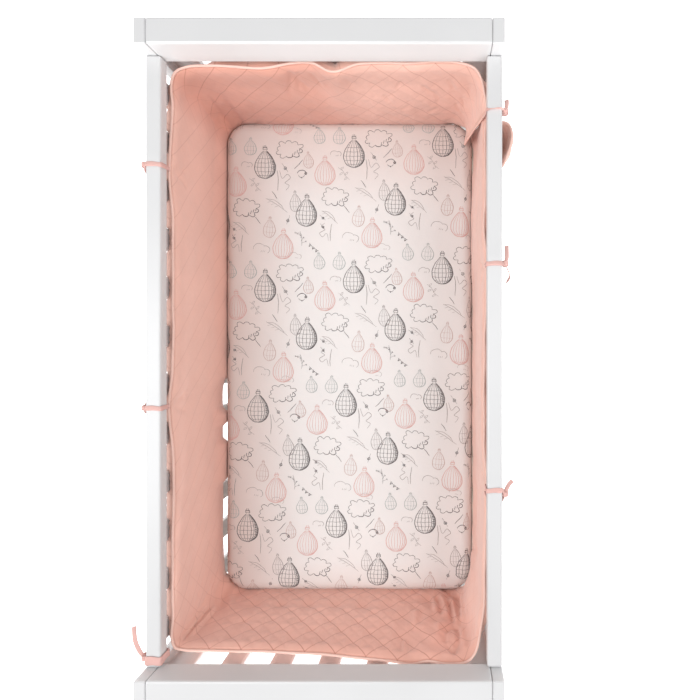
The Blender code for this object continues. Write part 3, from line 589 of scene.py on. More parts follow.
def sheet_material():
    """Pale cotton, tinted darker and pinker with painted shade and painted pink reflected light beside the pad at the
    left, the head and the foot.
    """
    made, nodes, links, shader = new_material("sheet_cotton", SHEET_WHITE, 0.90)
    shader.inputs["Specular IOR Level"].default_value = 0.2
    shader.inputs["Sheen Weight"].default_value = 0.10
    where = object_vector(nodes)
    patch = mapped(nodes, links, noise_of(nodes, links, where, 5.0, 3.0), 0.35, 0.65, 0.0, 1.0)
    # Painted shade and painted pink reflected light: the sheet is tinted darker and pinker towards the pad at the left,
    # the head and the foot.
    places = separated(nodes, links, where)
    by_left = mapped(nodes, links, places["X"], -0.338, -0.130, 1.0, 0.0)
    by_head = mapped(nodes, links, places["Y"], 0.645, 0.400, 0.85, 0.0)
    by_foot = mapped(nodes, links, places["Y"], -0.645, -0.560, 0.55, 0.0)
    near = math_node(nodes, links, "MAXIMUM", math_node(nodes, links, "MAXIMUM", by_left, by_head), by_foot)
    color = tinted(nodes, links, patch, SHEET_WHITE, shade(SHEET_WHITE, 1.03))
    links.new(with_painted_shade(nodes, links, color, SHEET_PAINTED_SHADE, near), shader.inputs["Base Color"])
    bumped(nodes, links, shader, [(noise_of(nodes, links, where, 26.0, 4.0), 0.0014, 0.5),
                                  (weave_height(nodes, links, where, 1800.0), 0.00015, 0.3)])
    return made


def ink_material(name, color):
    """Printed ink: thin where the cloth's threads stand proud."""
    made, nodes, links, shader = new_material("ink_" + name, color, 0.9)
    shader.inputs["Specular IOR Level"].default_value = 0.15
    where = object_vector(nodes)
    worn = mapped(nodes, links, noise_of(nodes, links, where, 260.0, 2.0), 0.30, 0.75, 0.0, 1.0)
    pale = tuple(c + (w - c) * 0.35 for c, w in zip(color, SHEET_WHITE))
    links.new(tinted(nodes, links, worn, color, pale), shader.inputs["Base Color"])
    return made


def grain_of(nodes, links, vector, along, scale, detail):
    """Noise drawn out along Y, as wood's grain or brush marks are."""
    stretch = nodes.new("ShaderNodeMapping")
    stretch.inputs["Scale"].default_value = (1.0, along, 1.0)
    links.new(vector, stretch.inputs["Vector"])
    return noise_of(nodes, links, stretch.outputs["Vector"], scale, detail)


def paint_material(name, color):
    """Satin paint over wood: a faint brushed grain and slightly uneven gloss."""
    made, nodes, links, shader = new_material(name, color, 0.38)
    shader.inputs["Coat Weight"].default_value = 0.20
    shader.inputs["Coat Roughness"].default_value = 0.18
    where = object_vector(nodes)
    grain = grain_of(nodes, links, where, 0.06, 240.0, 3.0)
    patch = noise_of(nodes, links, where, 6.0, 2.0)
    links.new(tinted(nodes, links, patch, shade(color, 0.97), shade(color, 1.02)), shader.inputs["Base Color"])
    links.new(mapped(nodes, links, patch, 0.3, 0.7, 0.32, 0.46), shader.inputs["Roughness"])
    bumped(nodes, links, shader, [(grain, 0.0004, 0.18)])
    return made


def board_material():
    made, nodes, links, shader = new_material("bare_board", BOARD, 0.65)
    grain = grain_of(nodes, links, object_vector(nodes), 0.08, 60.0, 5.0)
    links.new(tinted(nodes, links, grain, shade(BOARD, 0.82), shade(BOARD, 1.10)), shader.inputs["Base Color"])
    bumped(nodes, links, shader, [(grain, 0.0006, 0.4)])
    return made


def ticking_material():
    """Mattress cover: pale cotton with narrow stripes."""
    made, nodes, links, shader = new_material("mattress_ticking", TICKING, 0.85)
    where = object_vector(nodes)
    stripe = nodes.new("ShaderNodeTexWave")
    stripe.inputs["Scale"].default_value = 100.0 / math.tau
    links.new(where, stripe.inputs["Vector"])
    lines = mapped(nodes, links, stripe.outputs["Fac"], 0.85, 0.95, 0.0, 1.0)
    links.new(tinted(nodes, links, lines, TICKING, STRIPE), shader.inputs["Base Color"])
    bumped(nodes, links, shader, [(weave_height(nodes, links, where, 1500.0), 0.0002, 0.4)])
    return made


# ---------------------------------------------------------------- mesh helpers

def object_of(name, points, faces, material, smooth=True):
    mesh = bpy.data.meshes.new(name)
    mesh.from_pydata(np.asarray(points, dtype=float).tolist(), [], faces)
    mesh.validate()
    mesh.update()
    if smooth:
        mesh.shade_smooth()
    mesh.materials.append(material)
    obj = bpy.data.objects.new(name, mesh)
    bpy.context.scene.collection.objects.link(obj)
    return obj


def on_frame(obj, slot, *nodes):
    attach(obj, "root")
    if nodes:
        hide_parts(*nodes)
    return obj


def grid_faces(columns, rows, start=0, flip=False):
    """Quads of a grid of points stored column by column."""
    i, j = np.meshgrid(np.arange(columns - 1), np.arange(rows - 1), indexing="ij")
    a = (start + i * rows + j).ravel()
    quads = np.stack([a, a + rows, a + rows + 1, a + 1], axis=1)
    return (quads[:, ::-1] if flip else quads).tolist()


def ring_faces(a, b, around):
    """Quads between two rings of points, the first starting at a and the second at b."""
    return [(a + n, a + (n + 1) % around, b + (n + 1) % around, b + n) for n in range(around)]


def unit(vectors):
    return vectors / np.maximum(np.linalg.norm(vectors, axis=-1, keepdims=True), 1e-9)


def smooth_step(x):
    x = np.clip(x, 0.0, 1.0)
    return x * x * (3.0 - 2.0 * x)


# ---------------------------------------------------------------- quilted pad

def catmull(p0, p1, p2, p3, t):
    return 0.5 * (2 * p1 + (p2 - p0) * t + (2 * p0 - 5 * p1 + 4 * p2 - p3) * t ** 2
                  + (3 * p1 - p0 - 3 * p2 + p3) * t ** 3)


def route_lines():
    """Fine rows of (top, low, belly, loft) along the pad, their lengths so far and each station's."""
    rows = np.array([[*s.top, *s.low, s.belly, s.loft] for s in ROUTE])
    fine = []
    for k in range(len(rows) - 1):
        four = [rows[max(k - 1, 0)], rows[k], rows[k + 1], rows[min(k + 2, len(rows) - 1)]]
        fine += [catmull(*four, n / ROUTE_STEPS) for n in range(ROUTE_STEPS)]
    fine = np.array(fine + [rows[-1]])
    middle = (fine[:, 0:3] + fine[:, 3:6]) / 2
    lengths = np.concatenate([[0.0], np.cumsum(np.linalg.norm(np.diff(middle, axis=0), axis=1))])
    marks = {s.where: lengths[k * ROUTE_STEPS] for k, s in enumerate(ROUTE)}
    return fine, lengths, marks


def pad_grid(columns, rows):
    """Middle surface, inward directions and loft of the pad on an even grid."""
    fine, lengths, marks = route_lines()
    along = np.linspace(0.0, lengths[-1], columns + 1)
    line = np.stack([np.interp(along, lengths, fine[:, n]) for n in range(8)], axis=1)
    share = np.linspace(0.0, 1.0, rows + 1)[None, :, None]
    middle = line[:, None, 3:6] + (line[:, None, 0:3] - line[:, None, 3:6]) * share
    past_exit = along - marks["exit half in"] + EXIT_AHEAD
    near_exit = np.exp(-(past_exit / np.where(past_exit < 0.0, *EXIT_WIDE)) ** 2)
    middle[..., 1] += EXIT_FOLD * near_exit[:, None] * (1.0 - EXIT_EASE * share[..., 0])
    bunch = smooth_step((line[:, 0] - OUTSIDE_FROM) / 0.02)
    middle[..., 0] += OUTSIDE_SWELL * bunch[:, None] * smooth_step((share[..., 0] - 0.5) / 0.4)
    run = np.gradient(middle, axis=0)
    inward = unit(np.stack([-run[..., 1], run[..., 0], np.zeros_like(run[..., 0])], axis=-1))
    middle = middle + inward * line[:, None, 6:7] * BELLY_SHAPE * share * (1 - share) ** 2
    middle = middle + crest_lean(middle, share)
    middle = middle + foot_tuck(middle[:, 0], inward[:, 0], share)
    return middle, inward, line[:, 7], along, marks


def off_mattress(points):
    """How far points stand outside the mattress, seen from above."""
    low, high = node_corners("mattress")
    half, centre = (high - low)[:2] / 2, (high + low)[:2] / 2
    over = np.abs(points[..., :2] - centre) - (half - MATTRESS_CORNER)
    inside = np.minimum(over.max(axis=-1), 0.0)
    return np.linalg.norm(np.maximum(over, 0.0), axis=-1) + inside - MATTRESS_CORNER


def crest_lean(middle, share):
    """The crest of the left wall stands a little off its rail."""
    clear_of_ends = smooth_step((0.62 - np.abs(middle[..., 1])) / 0.05)
    on_left = smooth_step((-middle[..., 0] - 0.34) / 0.01) * clear_of_ends
    lean = on_left * smooth_step((share[..., 0] - 0.55) / 0.45) * CREST_LEAN
    return np.stack([lean, np.zeros_like(lean), np.zeros_like(lean)], axis=-1)


def foot_tuck(foot, inward, share):
    """The pad's foot leans in and down on to the sheet's side, save where the floor shows past it."""
    off = off_mattress(foot)
    up = np.clip(foot[:, 2] - (node_corners("fitted_sheet")[1][2] - MATTRESS_EDGE), 0.0, MATTRESS_EDGE)
    rounding = np.minimum(MATTRESS_EDGE - np.sqrt(MATTRESS_EDGE ** 2 - up ** 2), TUCK_ROUNDING)
    rounding = rounding * (foot[:, 2] < RAISED_FOOT)
    reach = np.clip(off + rounding - FRONT_STITCH - TUCK_CLEAR, 0.0, TUCK_REACH)
    leaning = np.where(foot[:, 0] > SLAT_FACE, 0.0, 1.0)
    for start, end in CLEAR_STRETCHES:
        within = smooth_step((foot[:, 1] - start) / 0.02 + 0.5) * smooth_step((end - foot[:, 1]) / 0.02 + 0.5)
        leaning = leaning * (1.0 - within * (foot[:, 0] < 0.0))
    drop = TUCK_DROP * leaning * smooth_step(off / 0.012)
    moved = inward * (reach * leaning)[:, None]
    low_part = 1.0 - smooth_step(share / TUCK_SHARE)
    lowest = 1.0 - smooth_step(share / (TUCK_SHARE / 2))
    down = np.stack([np.zeros_like(drop), np.zeros_like(drop), -drop], axis=-1)
    return moved[:, None] * low_part + down[:, None] * lowest


def looks_along(along, marks):
    """Seam strengths and puff at each distance along the pad."""
    at = [marks[look.where] for look in LOOKS]
    return [np.interp(along, at, [look[n] for look in LOOKS]) for n in (1, 2, 3)]


def back_bulge(middle, share):
    """The back cloth's swell towards and between the slats, its top edge's drop, its shift past slat edges."""
    x, y = np.abs(middle[..., 0]), middle[..., 1]
    offset = ((y / SLAT_ROW_STEP) % 1.0) - 0.5
    between = np.abs(offset)
    at_edge = (between > SLAT_EDGE_NEAR) & (between < SLAT_EDGE_PAST)
    aside = np.where(at_edge, (SLAT_EDGE_PAST - between) * np.sign(offset) * SLAT_ROW_STEP, 0.0)
    past_slat = (between > SLAT_EDGE_NEAR) * 1.0
    band = smooth_step((share[..., 0] - 0.70) / 0.18)
    crest = share[..., 0] > CREST_SHARE
    side = smooth_step((x - 0.34) / 0.01) * smooth_step((0.645 - np.abs(y)) / 0.03) * (x < SLAT_FACE - 0.004)
    room = SLAT_FACE - FACE_CLEAR - x - BACK_STITCH - BACK_CROWN
    head = smooth_step((y - 0.645) / 0.01) * smooth_step((0.29 - x) / 0.04)
    head_room = np.clip(END_SLAT_FACE - FACE_CLEAR - y - BACK_STITCH - BACK_CROWN, 0.0, END_SWELL)
    swell = side * (np.maximum(room, 0.0) + SWELL_PAST_SLAT * past_slat * (1.0 - crest)) + head * head_room
    swelling = np.minimum(swell, 1e-3) / 1e-3
    return band * swell, swelling * CREST_DROP * crest, aside * side * band


def seam_shares(columns, rows):
    """For the plus and minus seams, 1 on the stitch lines falling to 0 half way between them."""
    i, j = np.meshgrid(np.arange(columns + 1), np.arange(rows + 1), indexing="ij")
    u = i * HALF_DIAMONDS_LONG / columns
    v = j * HALF_DIAMONDS_HIGH / rows
    return [1.0 - np.abs(((u + sign * v) / 2 + 0.5) % 1.0 - 0.5) * 2 for sign in (1, -1)]


def eased(field, times):
    """The field smoothed by its neighbours, its border kept."""
    for _ in range(times):
        inner = (field[:-2, 1:-1] + field[2:, 1:-1] + field[1:-1, :-2] + field[1:-1, 2:]) / 8
        field = field.copy()
        field[1:-1, 1:-1] = inner + field[1:-1, 1:-1] / 2
    return field


def rim_share(columns, rows, long, high):
    """0 on the pad's edge, rising to 1 a rim's width inside it."""
    u = np.minimum(np.arange(columns + 1), columns - np.arange(columns + 1)) * long / columns
    v = np.minimum(np.arange(rows + 1), rows - np.arange(rows + 1)) * high / rows
    return smooth_step(np.minimum(u[:, None], v[None, :]) / RIM_WIDE)


def closed_pad(front, back):
    """Points and faces of the two cloths, joined round their edge; back may be the coarser grid."""
    nf, mf = front.shape[:2]
    nb, mb = back.shape[:2]
    step = (nf - 1) // (nb - 1)
    points = np.concatenate([front.reshape(-1, 3), back.reshape(-1, 3)])
    faces = grid_faces(nf, mf) + grid_faces(nb, mb, nf * mf, flip=True)
    ring_f = ([(i, 0) for i in range(nf)] + [(nf - 1, j) for j in range(1, mf)]
              + [(i, mf - 1) for i in range(nf - 2, -1, -1)] + [(0, j) for j in range(mf - 2, 0, -1)])
    ids = [i * mf + j for i, j in ring_f]
    backs = [nf * mf + (i // step) * mb + j // step for i, j in ring_f[::step]]
    for k in range(len(backs)):
        fronts = [ids[(k * step + n) % len(ids)] for n in range(step + 1)]
        faces.append([backs[(k + 1) % len(backs)]] + fronts[::-1] + [backs[k]])
    return points, faces


def inflate(front, back, pins):
    """Blender's cloth blows the two cloths up between their stitch lines; returns both grids."""
    points, faces = closed_pad(front, back)
    obj = object_of("pad_sim", points, faces, bpy.data.materials.new("plain"), smooth=False)
    group = obj.vertex_groups.new(name="stitches")
    held = np.concatenate([pins.ravel(), pins.ravel()])
    group.add(np.flatnonzero(held).tolist(), 1.0, "REPLACE")
    cloth = obj.modifiers.new("cloth", "CLOTH")
    settings = cloth.settings
    settings.quality = SIM_QUALITY
    settings.mass = SIM_MASS
    settings.tension_stiffness = SIM_STRETCH
    settings.compression_stiffness = SIM_STRETCH
    settings.shear_stiffness = SIM_SHEAR
    settings.bending_stiffness = SIM_BEND
    settings.air_damping = SIM_DAMPING
    settings.shrink_min = SIM_SHRINK
    settings.use_pressure = True
    settings.uniform_pressure_force = SIM_PRESSURE
    settings.vertex_group_mass = group.name
    settings.effector_weights.gravity = 0.0
    for number in range(1, SIM_FRAMES + 1):
        bpy.context.scene.frame_set(number)
    evaluated = obj.evaluated_get(bpy.context.evaluated_depsgraph_get())
    made = np.empty(len(points) * 3)
    evaluated.data.vertices.foreach_get("co", made)
    made = made.reshape(-1, 3)
    bpy.data.objects.remove(obj, do_unlink=True)
    bpy.context.scene.frame_set(1)
    moved = made - points
    far = np.linalg.norm(moved, axis=1, keepdims=True)
    made = points + moved * np.minimum(1.0, CROWN_CAP / np.maximum(far, 1e-9))
    split = front.shape[0] * front.shape[1]
    return made[:split].reshape(front.shape), made[split:].reshape(back.shape)


def doubled(grid):
    """The grid with a smooth point added between each two, both ways."""
    for axis in (0, 1):
        grid = np.moveaxis(grid, axis, 0)
        padded = np.concatenate([2 * grid[:1] - grid[1:2], grid, 2 * grid[-1:] - grid[-2:-1]])
        between = (9 * (padded[1:-2] + padded[2:-1]) - padded[:-3] - padded[3:]) / 16
        out = np.empty((2 * len(grid) - 1, *grid.shape[1:]))
        out[0::2] = grid
        out[1::2] = between
        grid = np.moveaxis(out, 0, axis)
    return grid


def crease_depth(along, shares, high, marks):
    """How far each grid point is pressed back by the listed creases."""
    u = along[:, None]
    v = shares[None, :] * high
    total = np.zeros((len(along), len(shares)))
    for crease in CREASES:
        start = np.array([marks[crease.where] + crease.du, crease.v * high])
        end = np.array([marks[crease.where] + crease.du_to, crease.v_to * high])
        span = end - start
        t = np.clip(((u - start[0]) * span[0] + (v - start[1]) * span[1]) / (span @ span), 0.0, 1.0)
        off = np.hypot(u - start[0] - t * span[0], v - start[1] - t * span[1])
        ends = smooth_step(4 * t + 0.25) * smooth_step(4 * (1 - t) + 0.25)
        total += crease.deep * ends * np.exp(-(off / crease.wide) ** 2)
    return total


def filled_grids(middle, inward, loft, along, marks, high):
    """The front and back cloth on the pad's own grid, blown up between their stitch lines."""
    columns, rows = middle.shape[0] - 1, middle.shape[1] - 1
    rim = rim_share(columns, rows, along[-1], high)
    share = np.linspace(0.0, 1.0, rows + 1)[None, :, None]
    seam = np.maximum(*seam_shares(columns, rows))
    puff = looks_along(along, marks)[2]
    crown = np.sqrt(np.clip(1.0 - seam, 0.0, 1.0)) * loft[:, None]
    start = START_CROWN
    front_off = RIM_HALF + (FRONT_STITCH - RIM_HALF + FRONT_CROWN * crown * start) * rim
    back_off = RIM_HALF + (BACK_STITCH - RIM_HALF + BACK_CROWN * crown * start) * rim
    front, back = middle + inward * front_off[..., None], middle - inward * back_off[..., None]
    front, back = inflate(front, back, (seam > 0.999) | (rim < 0.01))
    stitched = RIM_HALF + (FRONT_STITCH - RIM_HALF) * rim
    stood = eased(np.einsum("ijk,ijk->ij", front - middle, inward) - stitched, 2)
    front = middle + inward * (stitched + stood * puff[:, None])[..., None]
    swell, drop, aside = back_bulge(middle, share)
    back = back - inward * swell[..., None]
    back[..., 1] += aside
    back[..., 2] -= drop
    return front, back


def pressed_front(front, end, high):
    """The fine front cloth pressed back along its seams and creases, with a slight crumple."""
    columns, rows = front.shape[0] - 1, front.shape[1] - 1
    middle, inward, _, along, marks = pad_grid(columns, rows)
    rim = rim_share(columns, rows, end, high)
    plus, minus, _ = looks_along(along, marks)
    plus_seam, minus_seam = seam_shares(columns, rows)
    shares = np.linspace(0.0, 1.0, rows + 1)
    u, v = along[:, None], shares[None, :] * high
    pressed = crease_depth(along, shares, high, marks)
    sewn = np.maximum(plus[:, None] * (plus_seam > 0.999), minus[:, None] * (minus_seam > 0.999))
    pressed += SEAM_DEEP * sewn
    crumple = np.sin(u * 61.0 + 3.0 * np.sin(v * 23.0)) * np.sin(v * 38.0 + 2.0 * np.sin(u * 17.0))
    pressed += CRUMPLE_DEEP * crumple
    depth = np.einsum("ijk,ijk->ij", front - middle, inward)
    wanted = np.maximum(depth - pressed * rim, np.minimum(depth, RIM_HALF + LEAST_PUFF))
    return front + inward * (wanted - depth)[..., None]


def diamond_counts(columns, rows):
    """Half diamonds along and up the pad at each grid point."""
    grids = np.meshgrid(np.linspace(0, HALF_DIAMONDS_LONG, columns + 1),
                        np.linspace(0, HALF_DIAMONDS_HIGH, rows + 1), indexing="ij")
    return np.stack(grids, axis=-1).reshape(-1, 2)


def seam_strengths(columns, rows):
    """Strengths of the plus and minus seams at each grid point."""
    _, lengths, marks = route_lines()
    plus, minus, _ = looks_along(np.linspace(0.0, lengths[-1], columns + 1), marks)
    return np.repeat(np.stack([plus, minus], axis=-1), rows + 1, axis=0)


def build_pad(material):
    columns, rows = HALF_DIAMONDS_LONG * CELLS, HALF_DIAMONDS_HIGH * CELLS
    middle, inward, loft, along, marks = pad_grid(columns, rows)
    high = float(np.linalg.norm(middle[0, -1] - middle[0, 0]))
    front, back = filled_grids(middle, inward, loft, along, marks, high)
    front = pressed_front(doubled(front), along[-1], high)
    points, faces = closed_pad(front, back)
    obj = object_of("bumper_quilt", points, faces, material)
    grids = (front.shape[0] - 1, front.shape[1] - 1), (columns, rows)
    add_uv(obj, "cloth", np.concatenate([diamond_counts(*grid) for grid in grids]))
    add_uv(obj, "seams", np.concatenate([seam_strengths(*grid) for grid in grids]))
    on_frame(obj, "quilt", "bumper")
    return obj


def add_uv(obj, name, per_point):
    layer = obj.data.uv_layers.new(name=name)
    corners = np.empty(len(obj.data.loops), dtype=np.int32)
    obj.data.loops.foreach_get("vertex_index", corners)
    layer.data.foreach_set("uv", per_point[corners].ravel())


def looped_tube(name, centres, sides_a, sides_b, radius, material):
    """A closed loop of tube through centres, its cross-section spanned by the two direction lists."""
    turns = np.arange(PIPING_SIDES) * math.tau / PIPING_SIDES
    ring = (sides_a[:, None] * np.cos(turns)[None, :, None] + sides_b[:, None] * np.sin(turns)[None, :, None])
    points = (centres[:, None] + ring * radius[:, None, None]).reshape(-1, 3)
    count = len(centres)
    faces = []
    for k in range(count):
        faces += ring_faces(k * PIPING_SIDES, (k + 1) % count * PIPING_SIDES, PIPING_SIDES)
    return object_of(name, points, faces, material)


def build_piping(material):
    """The cord sewn into the pad's edge, all round."""
    columns, rows = HALF_DIAMONDS_LONG * CELLS * 2, HALF_DIAMONDS_HIGH * CELLS * 2
    middle, inward, _, _, _ = pad_grid(columns, rows)
    up = np.array([0.0, 0.0, 1.0])
    half = rows // 2
    ends = [unit(middle[0, half] - middle[2, half]), unit(middle[-1, half] - middle[-3, half])]
    flat_ends = [unit(e * np.array([1.0, 1.0, 0.0])) for e in ends]
    stops = [(middle[i, -1], up, inward[i, -1]) for i in range(columns + 1)]
    stops += [(middle[-1, j], flat_ends[1], inward[-1, j]) for j in range(rows - 1, 0, -1)]
    stops += [(middle[i, 0], -up, inward[i, 0]) for i in range(columns, -1, -1)]
    stops += [(middle[0, j], flat_ends[0], inward[0, j]) for j in range(1, rows)]
    at = np.array([s[0] for s in stops])
    out = np.array([s[1] for s in stops])
    for _ in range(3):
        out = unit(np.roll(out, 1, axis=0) + out * 2 + np.roll(out, -1, axis=0))
    side = np.array([s[2] for s in stops])
    beat = np.arange(len(stops))
    radius = PIPING_R * (1.0 + 0.035 * np.sin(beat * 1.9) + 0.03 * np.sin(beat * 0.37))
    sway = 0.0005 * np.sin(beat * 0.21) + 0.0004 * np.sin(beat * 0.083 + 1.0)
    centres = at + out * PIPING_OFF + side * sway[:, None]
    obj = looped_tube("bumper_cord", centres, out, side, radius, material)
    on_frame(obj, "piping", "bumper_piping")
    return obj


# ---------------------------------------------------------------- ties

def smooth_path(points, steps=8):
    points = [np.array(p, dtype=float) for p in points]
    made = []
    for k in range(len(points) - 1):
        four = [points[max(k - 1, 0)], points[k], points[k + 1], points[min(k + 2, len(points) - 1)]]
        made += [catmull(*four, n / steps) for n in range(steps)]
    return np.array(made + [points[-1]])


def strip_mesh(path, faces_to, wide, thick, start):
    """Points and faces of a flat ribbon with rounded edges, faces_to being its face's direction."""
    run = unit(np.gradient(path, axis=0))
    across = unit(np.cross(run, faces_to))
    face = unit(np.cross(across, run))
    size = len(STRIP_OUTLINE)
    points = []
    for k, centre in enumerate(path):
        for a, b in STRIP_OUTLINE:
            points.append(centre + across[k] * a * wide[k] / 2 + face[k] * b * thick)
    faces = []
    for k in range(len(path) - 1):
        faces += ring_faces(start + k * size, start + (k + 1) * size, size)
    last = start + (len(path) - 1) * size
    faces += [tuple(range(start + size - 1, start - 1, -1)), tuple(range(last, last + size))]
    return points, faces


def band_path(tie, upper):
    """One strand of a tie: from the pad's piping, over or under the rail, to its knot."""
    out = TIE_OFF
    lean = (tie.low_along - tie.along) * KNOT_DROP / (RAIL_TOP - RAIL_LOW)
    knot = (RAIL_OUT + KNOT_OUT, tie.along + lean, RAIL_TOP - KNOT_DROP)
    if upper:
        along = tie.along
        points = [(RAIL_IN - 0.0005, along, CREST_AT), (RAIL_IN - out, along, RAIL_LOW),
                  (RAIL_IN - out, along, 0.8660),
                  (RAIL_IN - out * 0.8, along, RAIL_TOP - 0.0010), (RAIL_IN + 0.0035, along, RAIL_TOP + out),
                  (RAIL_IN + 0.0160, along + 0.0006, RAIL_TOP + out * 0.9),
                  (RAIL_OUT - 0.0035, along, RAIL_TOP + out),
                  (RAIL_OUT + out * 0.8, along, RAIL_TOP - 0.0010), knot]
    else:
        along = tie.low_along
        points = [(RAIL_IN - 0.0005, tie.along * 0.6 + along * 0.4, CREST_AT + 0.0007),
                  (RAIL_IN + 0.0060, along, RAIL_LOW - out),
                  (RAIL_IN + 0.0170, along, RAIL_LOW - out * 1.2), (RAIL_OUT - 0.0030, along, RAIL_LOW - out),
                  (RAIL_OUT + out, along, RAIL_LOW + 0.0030), knot]
    mirror = np.array([tie.side, 1.0, 1.0])
    return smooth_path([np.array(point) * mirror for point in points]), np.array(knot) * mirror


def outward_from_rail(path, side):
    centre = np.array([side * (RAIL_IN + RAIL_OUT) / 2, 0.0, (RAIL_TOP + RAIL_LOW) / 2])
    away = (path - centre) * np.array([1.0, 0.0, 1.0])
    return unit(away)


def tie_strands(tie):
    """The strand over the rail and the one under it, and the knot's place."""
    strands = []
    side_way = np.array([0.0, 1.0, 0.0])
    for upper in (True, False):
        path, knot = band_path(tie, upper)
        turn = np.linspace(0.0, 1.0, len(path))
        lift = outward_from_rail(path, tie.side)
        angle = math.pi * tie.twist * smooth_step((turn - 0.30) / 0.45) if upper else turn * 0.0
        facing = lift * np.cos(angle)[:, None] + side_way * np.sin(angle)[:, None]
        wide = tie.wide * (1.0 - 0.35 * smooth_step((turn - 0.8) / 0.2)) * (1.0 - 0.12 * np.sin(turn * 9.0) ** 2)
        path = path + side_way * (0.0006 * np.sin(turn * 11.0))[:, None]
        strands.append((path, facing, wide, TIE_THICK))
    return strands, knot


def knot_wraps(knot, side):
    """The two turns of strip round the knot, each set along by its shift and slanted by its lean."""
    a = np.linspace(0.0, math.tau, WRAP_STEPS)
    wraps = []
    for shift, lean in WRAPS:
        ring = np.stack([np.cos(a) * WRAP_HALF[0] * side, np.sin(a) * lean * WRAP_HALF[1] + shift,
                         np.sin(a) * WRAP_HALF[2]], axis=1)
        facing = unit(ring * np.array([1.0, 0.2, 1.0]))
        wraps.append((knot + ring, facing, np.full(WRAP_STEPS, WRAP_WIDE), WRAP_THICK))
    return wraps


def tie_tails(tie, knot):
    """The tie's free ends. A tail that hangs faces out from the rail, one that sticks out faces up."""
    tails = []
    for tail in tie.tails:
        stops = [knot + np.array([tie.side * s.out, s.along, s.up]) for s in tail]
        path = smooth_path([knot] + stops, steps=10)
        turn = np.linspace(0.0, 1.0, len(path))
        whole = path[-1] - path[0]
        hangs = abs(whole[2]) > 0.7 * np.linalg.norm(whole)
        facing = np.tile([tie.side * 1.0, 0.0, 0.0] if hangs else [-tie.side * 0.3, 0.25, 1.0], (len(path), 1))
        curl = np.sin(turn * 4.0)[:, None] * (0.5 if hangs else 0.2)
        facing = facing + np.array([0.0, 0.6, 0.0]) * curl
        wide = TIE_WIDE * 0.82 * (0.62 + 0.38 * smooth_step(turn / 0.35))
        tails.append((path, unit(facing), wide, TIE_THICK))
    return tails


def knot_core(knot, start):
    """A lumpy closed core inside the wraps."""
    points, faces = [], []
    for k in range(KNOT_RINGS):
        polar = math.pi * (k + 0.5) / KNOT_RINGS
        for n in range(KNOT_AROUND):
            a = math.tau * n / KNOT_AROUND
            r = 1.0 + 0.10 * math.sin(3 * a + 4 * polar)
            across, along, up = KNOT_CORE
            points.append(knot + np.array([across * math.sin(polar) * math.cos(a), along * math.cos(polar),
                                           up * math.sin(polar) * math.sin(a)]) * r)
    for k in range(KNOT_RINGS - 1):
        faces += ring_faces(start + k * KNOT_AROUND, start + (k + 1) * KNOT_AROUND, KNOT_AROUND)
    last = start + (KNOT_RINGS - 1) * KNOT_AROUND
    faces += [tuple(range(start, start + KNOT_AROUND)), tuple(range(last, last + KNOT_AROUND))]
    return points, faces


def build_tie(tie, material):
    """Both strands, a knot of two wraps over a core, and two tails, as one piece."""
    strands, knot = tie_strands(tie)
    strips = strands + knot_wraps(knot, tie.side) + tie_tails(tie, knot)
    points, faces = [], []
    for path, facing, wide, thick in strips:
        more, quads = strip_mesh(path, facing, wide, thick, len(points))
        points += more
        faces += quads
    more, quads = knot_core(knot, len(points))
    obj = object_of(tie.name + "_cloth", points + more, faces + quads, material)
    on_frame(obj, "tie", tie.name)
    return obj


# ---------------------------------------------------------------- mattress and sheet

def slab_point(x, y, z, low, high):
    """Points of a box's surface moved on to the slab with rounded corners and edges, and their normals."""
    corner, edge = MATTRESS_CORNER, MATTRESS_EDGE
    half = (high[:2] - low[:2]) / 2
    centre = (high[:2] + low[:2]) / 2
    px, py = x - centre[0], y - centre[1]
    inset = np.minimum(half[0] - np.abs(px), half[1] - np.abs(py))
    qx = np.clip(px, corner - half[0], half[0] - corner)
    qy = np.clip(py, corner - half[1], half[1] - corner)
    dx, dy = px - qx, py - qy
    square = np.maximum(np.abs(dx), np.abs(dy))
    round_ = np.maximum(np.hypot(dx, dy), 1e-9)
    px, py = qx + dx * square / round_, qy + dy * square / round_
    outward = np.stack([dx / round_, dy / round_], axis=-1) * (square > 1e-9)[..., None]
    t_in = np.maximum(edge - inset, 0.0)
    t_up = np.maximum(z - (high[2] - edge), 0.0)
    t_down = np.maximum(low[2] + edge - z, 0.0)
    lift = np.maximum(t_up, t_down)
    reach = np.maximum(np.maximum(t_in, lift), 1e-9)
    bend = np.maximum(np.hypot(t_in, lift), 1e-9)
    both = (t_in > 0) & (lift > 0)
    scale = np.where(both, reach / bend, 1.0)
    new_in = t_in * scale
    new_lift = lift * scale
    px = px + outward[..., 0] * np.where(both, new_in - t_in, 0.0)
    py = py + outward[..., 1] * np.where(both, new_in - t_in, 0.0)
    z = np.where(both & (t_up > 0), high[2] - edge + new_lift, z)
    z = np.where(both & (t_down > 0), low[2] + edge - new_lift, z)
    normal = np.stack([outward[..., 0] * new_in, outward[..., 1] * new_in,
                       np.where(t_up > 0, new_lift, np.where(t_down > 0, -new_lift, 0.0))], axis=-1)
    flat_top = (t_in <= 0) & (t_up > 0)
    normal[flat_top] = (0.0, 0.0, 1.0)
    return np.stack([px + centre[0], py + centre[1], z], axis=-1), unit(normal)


